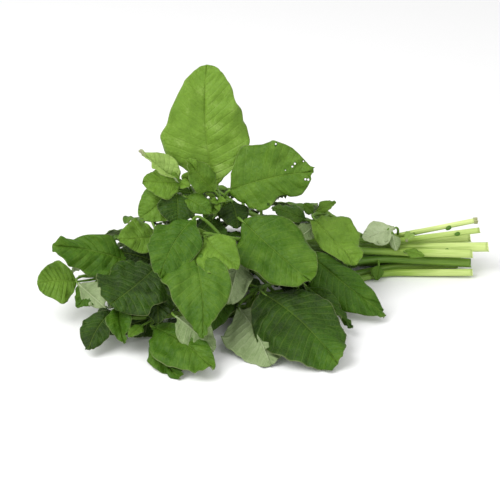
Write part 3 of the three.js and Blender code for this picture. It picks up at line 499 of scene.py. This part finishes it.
# Leaves too small for the frame: a withered curl on the stems, a second lobe by the pale leaf near
# the neck, and the rosettes of a few millimetres that sit in the forks at the top.
late_leaves = {
    "leafy_stem_top_right": [
        leaf((124, 44, 36), (119, 37, 33), 9, (0, -0.6, 0.8), 150, 20, 1.2, dry=1),
        leaf((104, 46, 39), (96, 38, 31), 11, (0.1, 0.7, -0.7), 40, 12, 0.9),
    ],
    "leafy_stem_upright": [
        leaf((-35, -6, 90), (-28, -12, 93), 7, (-0.2, -0.6, 0.8), 90, 20, 0.9),
        leaf((-35, -7, 90), (-41, -13, 92), 7, (0.2, -0.6, 0.8), 90, 20, 0.8),
        leaf((-35, -8, 89), (-34, -15, 86), 6, (0, -0.5, 0.8), 80, 20, 0.95),
    ],
    "leafy_stem_upright_left": [
        leaf((-64, -6, 104), (-56, -12, 106), 10, (0.1, -0.7, 0.7), 60, 20, 0.95),
        leaf((-66, -8, 103), (-72, -16, 99), 9, (-0.1, -0.7, 0.7), 50, 20, 0.8),
    ],
}


def grown_on(plant, owner):
    """The leaves of a plant that its solid in the frame has, and those too small for it."""
    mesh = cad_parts[plant["node"]].data
    tree = kdtree.KDTree(len(mesh.vertices))
    for vertex in mesh.vertices:
        tree.insert(vertex.co / MM, vertex.index)
    tree.balance()

    def is_there(one, rows):
        a, b = (v.ravel() for v in np.meshgrid(rows, (-1.0, 0.0, 1.0), indexing="ij"))
        lowest = LOWEST_BLADE + np.where(b == 0, FRAME_RIB * (1 - a), 0)
        upper = rest_on_table(blade_middle(one, a, b), lowest)
        upper += FRAME_THICKNESS / 2 * blade_normal(one, a, b)
        found = [tree.find(Vector(p))[2] < FOUND_WITHIN for p in upper]
        return sum(found) >= 0.5 * len(found)

    sets = []
    for i, one in enumerate(plant["leaves"]):
        rows = BROAD_ROWS if one["width"] > BROAD_FROM else NARROW_ROWS
        sets.append((ways_of_placed(plant, one, 500 + owner * 20 + i), rows))
    for i in range(TUFT["count"]):
        sets.append((ways_of_tuft(plant, i, 1000 + owner * 10 + i), TUFT_ROWS))
    for i in range(plant["sprouts"]["count"]):
        sets.append((ways_of_sprout(plant, i, owner * 100 + i * 7), NARROW_ROWS))
    leaves = []
    for ways, rows in sets:
        taken = next((one for one in ways if is_there(one, np.array(rows))), None)
        if taken:
            leaves.append(taken)
    for i, one in enumerate(late_leaves.get(plant["node"], [])):
        leaves.append(next(ways_of_placed(plant, one, 2000 + owner * 20 + i)))
    return leaves


# The blades' skin and fine form
# Fresh leaf skin, as it grew. Above, a thin coat of wax gives it a broad soft sheen on deep green.
# Beneath, it is pale, downy and nearly matt, and its veins stand out.

CLOUD_WIDTH = 12.5  # of the paler and darker patches
SPECK_WIDTH = 2
NET_MESH = 2.38  # the real net has meshes under a millimetre, too fine to show, and is drawn coarser
MIDRIB_EDGE, MIDRIB_CORE = 0.65, 0.2  # from the midrib's middle, where its colour begins and is full
VEIN_EDGE, VEIN_CORE = 0.065, 0.004  # the same for a side vein, over twice the space between two


def add_node(tree, kind, inputs=None, **settings):
    """Adds a node; each of its inputs takes a value, or is linked to another node's output."""
    made = tree.nodes.new(kind)
    for key, value in settings.items():
        setattr(made, key, value)
    for key, value in (inputs or {}).items():
        if isinstance(value, bpy.types.NodeSocket):
            tree.links.new(value, made.inputs[key])
        else:
            made.inputs[key].default_value = value
    return made


def linear(hex_colour):
    """An sRGB colour as the linear one that a shader takes."""
    parts = [int(hex_colour[i : i + 2], 16) / 255 for i in (1, 3, 5)]
    return [c / 12.92 if c <= 0.04045 else ((c + 0.055) / 1.055) ** 2.4 for c in parts] + [1]


def leaf_skin(name, dark, mid, light, youngest, vein, rim, vein_strength, roughness, veins_rise):
    """A skin of four tones, from a leaf in the shade to the youngest, with veins and a rim."""
    skin = bpy.data.materials.new(name)
    skin.use_nodes = True
    tree = skin.node_tree
    add = partial(add_node, tree)
    shader = tree.nodes["Principled BSDF"]
    place = add("ShaderNodeTexCoord").outputs["Object"]
    on_blade = add("ShaderNodeAttribute", attribute_name="blade").outputs["Vector"]
    spot = add("ShaderNodeSeparateXYZ", {"Vector": on_blade}).outputs
    tone = add("ShaderNodeAttribute", attribute_name="tone").outputs["Fac"]
    dry = add("ShaderNodeAttribute", attribute_name="dry").outputs["Fac"]

    # Each leaf has its own tone, partly its own green and partly painted light and shade, which clouds and
    # specks vary.
    clouds = {"Vector": place, "Scale": 1 / (CLOUD_WIDTH * MM), "Detail": 2, "Roughness": 0.5}
    cloudy = add("ShaderNodeTexNoise", clouds).outputs["Fac"]
    specks = {"Vector": place, "Scale": 1 / (SPECK_WIDTH * MM), "Detail": 2, "Roughness": 0.6}
    specked = add("ShaderNodeTexNoise", specks).outputs["Fac"]
    varied = add("ShaderNodeMath", {0: specked, 1: 0.2, 2: -0.325}, operation="MULTIPLY_ADD").outputs[0]
    varied = add("ShaderNodeMath", {0: cloudy, 1: 0.45, 2: varied}, operation="MULTIPLY_ADD").outputs[0]
    varied = add("ShaderNodeMath", {0: tone, 1: 0.8, 2: varied}, operation="MULTIPLY_ADD").outputs[0]
    ramp = add("ShaderNodeValToRGB", {"Fac": varied})
    ramp.color_ramp.elements[0].color = linear(dark)
    ramp.color_ramp.elements[1].color = linear(youngest)
    ramp.color_ramp.elements.new(0.36).color = linear(mid)
    ramp.color_ramp.elements.new(0.8).color = linear(light)

    # Lines are 1 on the midrib, less on side veins that fade here and there, and faint on the net.
    from_vein = add("ShaderNodeMath", {0: spot["Y"], 1: 0.25}, operation="PINGPONG").outputs[0]
    side_vein = {"Value": from_vein, "From Min": VEIN_EDGE, "From Max": VEIN_CORE}
    side_vein = add("ShaderNodeMapRange", side_vein).outputs[0]
    from_midrib = add("ShaderNodeMath", {0: spot["X"]}, operation="ABSOLUTE").outputs[0]
    midrib = {"Value": from_midrib, "From Min": MIDRIB_EDGE, "From Max": MIDRIB_CORE}
    midrib = add("ShaderNodeMapRange", midrib).outputs[0]
    meshes = {"Vector": place, "Scale": 1 / (NET_MESH * MM)}
    from_net = add("ShaderNodeTexVoronoi", meshes, feature="DISTANCE_TO_EDGE").outputs["Distance"]
    net = add("ShaderNodeMapRange", {"Value": from_net, "From Min": 0.12, "From Max": 0, "To Max": 0.3})
    fading = add("ShaderNodeMath", {0: cloudy, 1: 1.4, 2: -0.1}, operation="MULTIPLY_ADD").outputs[0]
    side_vein = add("ShaderNodeMath", {0: side_vein, 1: fading}, operation="MULTIPLY").outputs[0]
    lines = add("ShaderNodeMath", {0: side_vein, 1: net.outputs[0]}, operation="MAXIMUM").outputs[0]
    lines = add("ShaderNodeMath", {0: midrib, 1: lines}, operation="MAXIMUM").outputs[0]
    strength = add("ShaderNodeMath", {0: lines, 1: vein_strength}, operation="MULTIPLY").outputs[0]
    colours = {0: strength, 6: ramp.outputs["Color"], 7: linear(vein)}
    veined = add("ShaderNodeMix", colours, data_type="RGBA").outputs[2]

    # The margin is a thin paler rim, and a tip that has dried is a dull grey brown.
    rim_width = {"Value": spot["Z"], "From Min": 0.975, "From Max": 0.998, "To Max": 0.55}
    at_rim = add("ShaderNodeMapRange", rim_width).outputs[0]
    rimmed = add("ShaderNodeMix", {0: at_rim, 6: veined, 7: linear(rim)}, data_type="RGBA").outputs[2]
    dried = add("ShaderNodeMix", {0: dry, 6: rimmed, 7: linear("#a39f86")}, data_type="RGBA").outputs[2]
    tree.links.new(dried, shader.inputs["Base Color"])

    rise = {0: lines, 1: 1 if veins_rise else -1, 2: specked}
    height = add("ShaderNodeMath", rise, operation="MULTIPLY_ADD").outputs[0]
    bump = add("ShaderNodeBump", {"Height": height, "Strength": 0.6, "Distance": 0.0009})
    tree.links.new(bump.outputs["Normal"], shader.inputs["Normal"])
    uneven = {0: specked, 1: 0.16, 2: roughness - 0.08}
    sheen = add("ShaderNodeMath", uneven, operation="MULTIPLY_ADD").outputs[0]
    tree.links.new(sheen, shader.inputs["Roughness"])
    shader.inputs["IOR"].default_value = 1.42
    shader.inputs["Specular IOR Level"].default_value = 0.25
    return skin


upper_skin = leaf_skin(
    "leaf_upper_skin",
    dark="#1a3003",
    mid="#365b07",
    light="#6c8f2d",
    youngest="#95b25c",
    vein="#86a244",
    rim="#8a9463",
    vein_strength=0.22,
    roughness=0.46,
    veins_rise=False,
)
lower_skin = leaf_skin(
    "leaf_lower_skin",
    dark="#566b3c",
    mid="#768b58",
    light="#a6b68a",
    youngest="#b9c8a2",
    vein="#b4c296",
    rim="#a9b988",
    vein_strength=0.5,
    roughness=0.62,
    veins_rise=True,
)


def flat_blade(cells_along, cells_across):
    """A flat closed slab: y runs along the midrib, x across, and z tells the upper side from the lower."""
    bpy.ops.object.select_all(action="DESELECT")
    bpy.ops.mesh.primitive_grid_add(x_subdivisions=cells_across, y_subdivisions=cells_along, size=2)
    slab = bpy.context.object
    thicken = slab.modifiers.new("thicken", "SOLIDIFY")
    thicken.thickness = 1
    thicken.offset = 0
    thicken.material_offset = 1
    for skin in (upper_skin, lower_skin):
        slab.data.materials.append(skin)
    bpy.ops.object.modifier_apply(modifier=thicken.name)
    bpy.ops.object.shade_smooth()
    return slab


def unevenness(seed, along, across, size):
    """Soft irregular swellings about size mm across, between -1 and 1."""
    total = 0
    for k in range(5):
        turn = 2 * math.pi * chance(seed + 3.1 * k)
        wave = size * (0.6 + chance(seed + 3.1 * k + 1))
        shift = 6.3 * chance(seed + 3.1 * k + 2)
        onwards = along * math.cos(turn) + across * math.sin(turn)
        total = total + np.sin(onwards * 2 * math.pi / wave + shift)
    return total / 3


CROWDING = 1.25  # over 1, so that the mesh is finer beside the midrib
ROUNDED_FROM = 0.95  # of a blade's length, where its blunt tip begins
ROUNDING = 0.0505  # a little more than what is left there, so that the tip keeps some width
RAGGED = 0.032  # how far a margin strays, over its distance from the midrib
RAGGED_SPAN = 19
BROAD, MIDDLING, SMALL = 2.4, 1.3, 0.35  # heights of the crumples of three sizes
GROOVE, GROOVE_WIDTH = 0.35, 0.9  # of the midrib, above
RIB, RIB_WIDTH = 0.9, 1.2  # of the midrib, beneath
SIDE_RIB = 0.28
HALF_THICK, THINS_BY = 0.3, 0.12  # of a blade, and how much of it is gone at the margin
LOWEST_SKIN = 0.03  # above the table


def bite(blade, one, along, across, radius):
    """Cuts a round hole straight through a blade."""
    spot = np.array([along]), np.array([across])
    place = blade_middle(one, *spot)[0] * MM
    bpy.ops.object.select_all(action="DESELECT")
    bpy.ops.mesh.primitive_cylinder_add(vertices=9, radius=radius * MM, depth=8 * MM, location=place)
    punch = bpy.context.object
    punch.rotation_euler = Vector(blade_normal(one, *spot)[0]).to_track_quat("Z", "Y").to_euler()
    cut = blade.modifiers.new("hole", "BOOLEAN")
    cut.operation = "DIFFERENCE"
    cut.solver = "EXACT"
    cut.object = punch
    bpy.context.view_layer.objects.active = blade
    bpy.ops.object.modifier_apply(modifier=cut.name)
    bpy.data.objects.remove(punch)


def blade_from(slab, one, name, seed):
    """Copies the slab and lays it along the blade's surface."""
    mesh = slab.data.copy()
    flat = np.empty(len(mesh.vertices) * 3)
    mesh.vertices.foreach_get("co", flat)
    x, y, height = flat.reshape(-1, 3).T
    one = dict(one, lobes=one["lobes"] + one.get("finer_lobes", []))
    length = blade_axes(one)[1]
    a = (y + 1) / 2
    b = np.sign(x) * np.abs(x) ** CROWDING
    edge = np.abs(b)
    reach = swept(a)
    rounding = np.sqrt(1 - ((a - ROUNDED_FROM).clip(0) / ROUNDING) ** 2)
    strays = unevenness(seed + 80, reach * length, 40 * np.sign(b), RAGGED_SPAN)
    ragged = 1 + RAGGED * one.get("ragged", 1) * b * b * strays
    spread = b * rounding * ragged
    out = reach_out(one, reach, spread) * np.sign(b)  # mm from the midrib

    # Above: the skin swells between side veins, crumples, and dips along the midrib.
    veins = 3.5 + length / 20
    vein_at = a * veins + 0.25 * (b < 0)  # whole and half numbers lie on a side vein
    between = np.abs(np.sin(2 * np.pi * vein_at))
    inner = np.sin(np.pi * edge**0.6).clip(0, 1) ** 0.8
    broad = unevenness(seed, a * length, out, 0.34 * length)
    middling = unevenness(seed + 20, a * length, out, 0.16 * length)
    small = unevenness(seed + 50, a * length, out, 9)
    swell = min(1.0, (length / 80) ** 1.5) * np.sqrt(between) * inner * (0.8 + 0.15 * small)
    crumple = min(1.0, length / 60) * (BROAD * broad + MIDDLING * middling + SMALL * small) * edge**0.6
    frill = 0.006 * length * np.sin(2 * np.pi * 0.9 * veins * a + one["phase"])
    margin = edge**4 * (frill + 0.5 * small)
    groove = GROOVE * np.exp(-((out / GROOVE_WIDTH) ** 2)) * (1 - a)
    normal = blade_normal(one, a, b * rounding)
    middle = blade_middle(one, a, spread) + normal * (swell + crumple + margin - groove)[:, None]

    # Beneath: the midrib and side veins stand out.
    thick = HALF_THICK - THINS_BY * edge**3
    rib = RIB * (1 - 0.8 * a) * np.exp(-((out / (RIB_WIDTH - 0.7 * a)) ** 2))
    side_ribs = SIDE_RIB * np.exp(-((between / 0.3) ** 2)) * (1 - edge) ** 0.7
    below = thick + (rib + side_ribs) * min(1.0, length / 45)
    points = rest_on_table(middle, LOWEST_BLADE + 0.1) + normal * np.where(height > 0, thick, -below)[:, None]
    points[:, 2] = points[:, 2].clip(LOWEST_SKIN, None)
    mesh.vertices.foreach_set("co", (points * MM).ravel())
    notes = mesh.attributes.new("blade", "FLOAT_VECTOR", "POINT")
    notes.data.foreach_set("vector", np.stack([out, vein_at, edge], 1).ravel())
    tone = mesh.attributes.new("tone", "FLOAT", "POINT")
    tone.data.foreach_set("value", one["tone"] + one.get("paler", 0) * a * a)
    dry = mesh.attributes.new("dry", "FLOAT", "POINT")
    dry.data.foreach_set("value", one.get("dry", 0) * ((a - 0.72) / 0.2).clip(0, 1))
    mesh.update()
    blade = bpy.data.objects.new(name, mesh)
    bpy.context.collection.objects.link(blade)
    for hole in one.get("holes", []):
        bite(blade, one, *hole)
    return blade


def joined(pieces, name):
    bpy.ops.object.select_all(action="DESELECT")
    for piece in pieces:
        piece.select_set(True)
    bpy.context.view_layer.objects.active = pieces[0]
    bpy.ops.object.join()
    whole = bpy.context.object
    whole.name = whole.data.name = name
    return whole


large_slab = flat_blade(60, 28)
middling_slab = flat_blade(34, 16)
small_slab = flat_blade(14, 8)
LARGE_FROM = 30  # mm of a blade's width
MIDDLING_FROM = 14

for owner, plant in enumerate(plants):
    name = plant["node"].replace("leafy_", "")
    plant["grown"] = grown_on(plant, owner)
    blades = []
    for i, one in enumerate(plant["grown"]):
        slab = small_slab
        if one["width"] > MIDDLING_FROM:
            slab = large_slab if one["width"] > LARGE_FROM else middling_slab
        blades.append(blade_from(slab, one, f"{name}_blade_{i}", 40 * owner + i))
    foliage = joined(blades, f"{name}_leaves")
    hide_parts(plant["node"])
    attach(foliage, "root")

for slab in (large_slab, middling_slab, small_slab):
    bpy.data.objects.remove(slab)


# The stems and the leaf stalks
# An amaranth stem is a full, watery, finely ridged stalk, a little swollen where each leaf leaves it.
# Its skin is paler towards the cut end and painted darker from the neck inwards, as painted shade of the
# leaves over it. A knife cut it off square, so its end shows a green rind around pale pith.

STEM_RINGS = 90
STEM_FACETS = 20
RIDGES = 7
RIDGE = 0.05  # height of a ridge, over the stem's radius
UNROUND = 0.03  # how far the stem is out of round
UNROUND_TURN = 25  # of the stem's run, over which that turns a third of a radian
RIND = 0.22  # of the radius
PITH_SINKS = 0.5


def tube_along(points, radii, sides, name, tone, ridges=0, up=UP, cut_radius=0.0):
    """A closed tube: a cylinder is added and cut into rings, which are set along the points."""
    bpy.ops.object.select_all(action="DESELECT")
    bpy.ops.mesh.primitive_cylinder_add(vertices=sides, radius=1, depth=1, end_fill_type="NGON")
    tube = bpy.context.object
    tube.name = name
    mesh = bmesh.new()
    mesh.from_mesh(tube.data)
    upright = [e for e in mesh.edges if abs(e.verts[0].co.z - e.verts[1].co.z) > 0.5]
    bmesh.ops.subdivide_edges(mesh, edges=upright, cuts=len(points) - 2, use_grid_fill=True)
    forward = np.gradient(points, axis=0)
    forward /= np.linalg.norm(forward, axis=1, keepdims=True)
    axes = []
    for f in forward:
        up = unit(up - f * f.dot(up))
        axes.append((up, np.cross(f, up)))
    notes = mesh.verts.layers.float_vector.new("stem")
    own_tone = mesh.verts.layers.float.new("tone")
    tones = np.broadcast_to(tone, len(points))
    run = np.concatenate([[0], np.cumsum(np.linalg.norm(np.diff(points, axis=0), axis=1))])
    cut_end = min(mesh.faces, key=lambda face: face.calc_center_median().z)
    for v in mesh.verts:
        ring = round((v.co.z + 0.5) * (len(points) - 1))
        angle = math.atan2(v.co.y, v.co.x)
        ridge = 0
        if ridges:
            unround = UNROUND * math.cos(3 * angle + run[ring] / UNROUND_TURN)
            ridge = RIDGE * math.cos(ridges * angle) + unround
        u, s = axes[ring]
        out = math.cos(angle) * u + math.sin(angle) * s
        v[notes] = (math.cos(angle), math.sin(angle), run[ring])
        v[own_tone] = tones[ring]
        v.co = Vector((points[ring] + radii[ring] * (1 + ridge) * out) * MM)
    for face in mesh.faces:
        face.smooth = len(face.verts) == 4
    if cut_radius:
        # The rind keeps its edge, and the pith dries a little hollow.
        bmesh.ops.inset_individual(mesh, faces=[cut_end], thickness=RIND * cut_radius * MM)
        cut_end.material_index = 1
        pith_middle = bmesh.ops.poke(mesh, faces=[cut_end], offset=0)["verts"][0]
        pith_middle.co += Vector(forward[0]) * PITH_SINKS * MM
    bmesh.ops.recalc_face_normals(mesh, faces=mesh.faces)
    mesh.to_mesh(tube.data)
    mesh.free()
    return tube


STALK_TONE = 0.12  # stalks in the shade of the bunch are the darker part of the stem's range
STALK_RINGS = 14
ELBOW = 0.32  # how far behind the blade's base a stalk turns into line with it, over its length


def stalk_of(plant, one, name):
    """A leaf stalk rises from its stem, bends into the blade's line and ends under its midrib."""
    base, length, ahead, face = blade_axes(one)
    root = stem_point(plant, one["root"])
    bend = math.radians(one["bend"])
    start = ahead * math.cos(bend / 2) + face * math.sin(bend / 2)
    elbow = base - ELBOW * np.linalg.norm(base - root) * start
    t = np.linspace(0, 1, STALK_RINGS)[:, None]
    points = (1 - t) ** 2 * root + 2 * (1 - t) * t * elbow + t * t * base
    points = np.concatenate([points, [base + 0.05 * length * start]])
    half = 0.75 + length / 130
    radii = half * np.concatenate([np.linspace(1.25, 0.8, STALK_RINGS), [0.5]])
    points = rest_on_table(points, radii.max() * 0.9)
    return tube_along(points, radii, 8, name, tone=STALK_TONE, up=face)


# Living stem skin: smooth, moist and lightly waxed, so it shines a little more than the leaves.
# Fibres under it draw faint streaks along the stem.
STREAK_LENGTH = 21
STREAKS = 4.8  # across a stem's radius


def stem_skin(name, dark, mid, light):
    skin = bpy.data.materials.new(name)
    skin.use_nodes = True
    tree = skin.node_tree
    add = partial(add_node, tree)
    shader = tree.nodes["Principled BSDF"]
    notes = add("ShaderNodeAttribute", attribute_name="stem").outputs["Vector"]
    tone = add("ShaderNodeAttribute", attribute_name="tone").outputs["Fac"]
    stretch = {0: notes, 1: (STREAKS, STREAKS, 1 / STREAK_LENGTH)}
    stretched = add("ShaderNodeVectorMath", stretch, operation="MULTIPLY").outputs[0]
    streaks = {"Vector": stretched, "Scale": 1, "Detail": 3}
    streaked = add("ShaderNodeTexNoise", streaks).outputs["Fac"]
    shifted = add("ShaderNodeMath", {0: tone, 1: 0.25}, operation="SUBTRACT").outputs[0]
    shifted = add("ShaderNodeMath", {0: streaked, 1: 0.5, 2: shifted}, operation="MULTIPLY_ADD").outputs[0]
    # The ramp runs from the shaded green of a stem to its lit pale green: painted shade and painted light.
    ramp = add("ShaderNodeValToRGB", {"Fac": shifted})
    ramp.color_ramp.elements[0].color = linear(dark)
    ramp.color_ramp.elements[1].color = linear(light)
    ramp.color_ramp.elements.new(0.5).color = linear(mid)
    tree.links.new(ramp.outputs["Color"], shader.inputs["Base Color"])
    bump = add("ShaderNodeBump", {"Height": streaked, "Strength": 0.4, "Distance": 0.0005})
    tree.links.new(bump.outputs["Normal"], shader.inputs["Normal"])
    shader.inputs["Roughness"].default_value = 0.4
    shader.inputs["IOR"].default_value = 1.42
    shader.inputs["Specular IOR Level"].default_value = 0.35
    return skin


def plain_skin(name, colour, roughness):
    skin = bpy.data.materials.new(name)
    skin.use_nodes = True
    shader = skin.node_tree.nodes["Principled BSDF"]
    shader.inputs["Base Color"].default_value = linear(colour)
    shader.inputs["Roughness"].default_value = roughness
    return skin


# Dark is a stem's shaded green and light its lit green: painted shade and painted light.
stem_green = stem_skin("stem_skin", dark="#4c7420", mid="#94b24c", light="#dfec9f")
pith = plain_skin("cut_stem_pith", "#dbe3b4", roughness=0.6)  # sliced spongy pith, matt and pale
dried_fibre = plain_skin("dried_stem_fibre", "#a4a877", roughness=0.85)  # torn rind gone dull and dry

# Side buds sit where a leaf broke off low on the stem: share of the way along, turn, radius.
BUDS = {
    "leafy_stem_top_right": [(0.075, 250, 1.9), (0.19, 300, 1.5)],
    "leafy_stem_upright_left": [(0.06, 280, 1.8)],
    "leafy_stem_back_left": [(0.15, 240, 1.6)],
    "leafy_stem_upright": [(0.1, 260, 1.5)],
}
BUD_POINT = 1.9  # length of the fore half of a bud, over its radius


def bud_on(plant, share, turn, radius):
    """A pointed bud: a small sphere drawn out forwards, half sunk in the stem."""
    along = stem_direction(plant, share)
    out = outward(along, turn)
    bpy.ops.object.select_all(action="DESELECT")
    bpy.ops.mesh.primitive_uv_sphere_add(segments=12, ring_count=8, radius=radius * MM)
    bud = bpy.context.object
    turned = Vector(unit(along + 0.5 * out)).to_track_quat("Z", "Y").to_matrix()
    place = Vector(stem_point(plant, share) + out * stem_radius(plant, share)) * MM
    for v in bud.data.vertices:
        point = v.co.copy()
        point.z *= BUD_POINT if point.z > 0 else 1
        v.co = turned @ point + place
    bpy.ops.object.shade_smooth()
    return bud


STRANDS = 7
STRAND_TURN = 51  # degrees from one strand to the next
STRAND_RINGS = 6


def torn_end(plant):
    """Strands of rind that a knife left hanging on a thin stem's cut end."""
    strands = []
    forward = -stem_direction(plant, 0)
    up = outward(forward, 0)
    t = np.linspace(0, 1, STRAND_RINGS)[:, None]
    radii = np.linspace(1.2, 0.5, STRAND_RINGS)
    for i in range(STRANDS):
        out = outward(forward, STRAND_TURN * i + 20)
        start = stem_point(plant, 0) + 0.75 * plant["radius"] * out
        reach = 1.6 + 2 * chance(70 + i)
        points = start + forward * (reach * t - 1) + out * 0.8 * t * t - up * 0.7 * t * t
        strands.append(tube_along(points, radii, 6, "torn_strand", tone=0.5, up=up))
    return strands


KNOT = 0.1  # how much a stem swells where a leaf leaves it, over its radius
KNOT_LENGTH = 0.012  # of the stem's run
# The stem is painted darker from the neck inwards: painted shade of the leaves that lie over it.
PAINTED_SHADE_PAST_NECK = (0.1, 0.26, 0.4), (1, 0.45, 0.2)  # shares of the run, and how pale the stem still is there

for plant in plants:
    name = plant["node"].replace("leafy_", "")
    shares = np.linspace(0, 1, STEM_RINGS)
    points = np.array([stem_point(plant, s) for s in shares])
    radii = np.array([stem_radius(plant, s) for s in shares])
    for one in plant["grown"]:
        radii *= 1 + KNOT * np.exp(-(((shares - one["root"]) / KNOT_LENGTH) ** 2))
    radii[-3:] *= (1.4, 1.3, 0.5)  # a bud closes the tip
    points = rest_on_table(points, radii * 0.9)
    # Each ring takes the stem's tone, painted darker past the neck as painted shade.
    tones = plant["tone"] * np.interp(shares, *PAINTED_SHADE_PAST_NECK)
    stem = tube_along(
        points, radii, STEM_FACETS, name, tone=tones, ridges=RIDGES, cut_radius=plant["radius"]
    )
    stalks = [stalk_of(plant, one, f"{name}_stalk_{i}") for i, one in enumerate(plant["grown"])]
    buds = [bud_on(plant, *bud) for bud in BUDS.get(plant["node"], [])]
    torn = torn_end(plant) if plant["node"] == "leafy_stem_top_right" else []
    for piece in [stem] + stalks + buds + torn:
        for skin in (stem_green, pith, dried_fibre):
            piece.data.materials.append(skin)
    for piece in torn:
        for face in piece.data.polygons:
            face.material_index = 2
    stem = joined([stem] + stalks + buds + torn, name)
    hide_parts(plant["node"])
    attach(stem, "root")


# The table and the light
# A plain surface of white uncoated paper, matt, so that it shows a soft shadow and no reflection. It
# lies in a white room, lit by broad soft lamps from above and from the left.

bpy.ops.object.select_all(action="DESELECT")
bpy.ops.mesh.primitive_plane_add(size=6, location=(0, 0, 0))
table = bpy.context.object
table.name = "table"
table.data.materials.append(plain_skin("white_paper", "#f7f7f7", roughness=0.9))

room = bpy.data.worlds.new("white_room")
room.use_nodes = True
room.node_tree.nodes["Background"].inputs["Color"].default_value = (1, 1, 1, 1)
room.node_tree.nodes["Background"].inputs["Strength"].default_value = 0.75
bpy.context.scene.world = room


def lamp(name, place, size, power):
    """A square lamp that points at the middle of the mound."""
    bpy.ops.object.light_add(type="AREA", location=place)
    made = bpy.context.object
    made.name = name
    made.data.size = size
    made.data.energy = power
    made.rotation_euler = (Vector((0, 0, 0.05)) - Vector(place)).to_track_quat("-Z", "Y").to_euler()


lamp("key_lamp", (-0.8, -0.5, 1.2), size=1.0, power=17)
lamp("fill_lamp", (0.9, -0.9, 0.8), size=0.9, power=4)

bpy.context.scene.view_settings.view_transform = "Standard"


# The camera, at the photograph's angle
# It looks along +Y and down, so that the bunch lies across the view as in the photograph.

LOOKS_DOWN = math.radians(27)
DISTANCE = 1.3
SEEN_ACROSS = 0.4  # at the bunch
LOOKS_AT = Vector((-0.0096, 0, 0.044))
FILM_WIDTH = 36

camera = bpy.data.objects.new("camera", bpy.data.cameras.new("camera"))
bpy.context.collection.objects.link(camera)
camera.location = LOOKS_AT - DISTANCE * Vector((0, math.cos(LOOKS_DOWN), -math.sin(LOOKS_DOWN)))
camera.rotation_euler = (math.pi / 2 - LOOKS_DOWN, 0, 0)
camera.data.sensor_width = FILM_WIDTH
camera.data.lens = FILM_WIDTH * DISTANCE / SEEN_ACROSS
bpy.context.scene.camera = camera
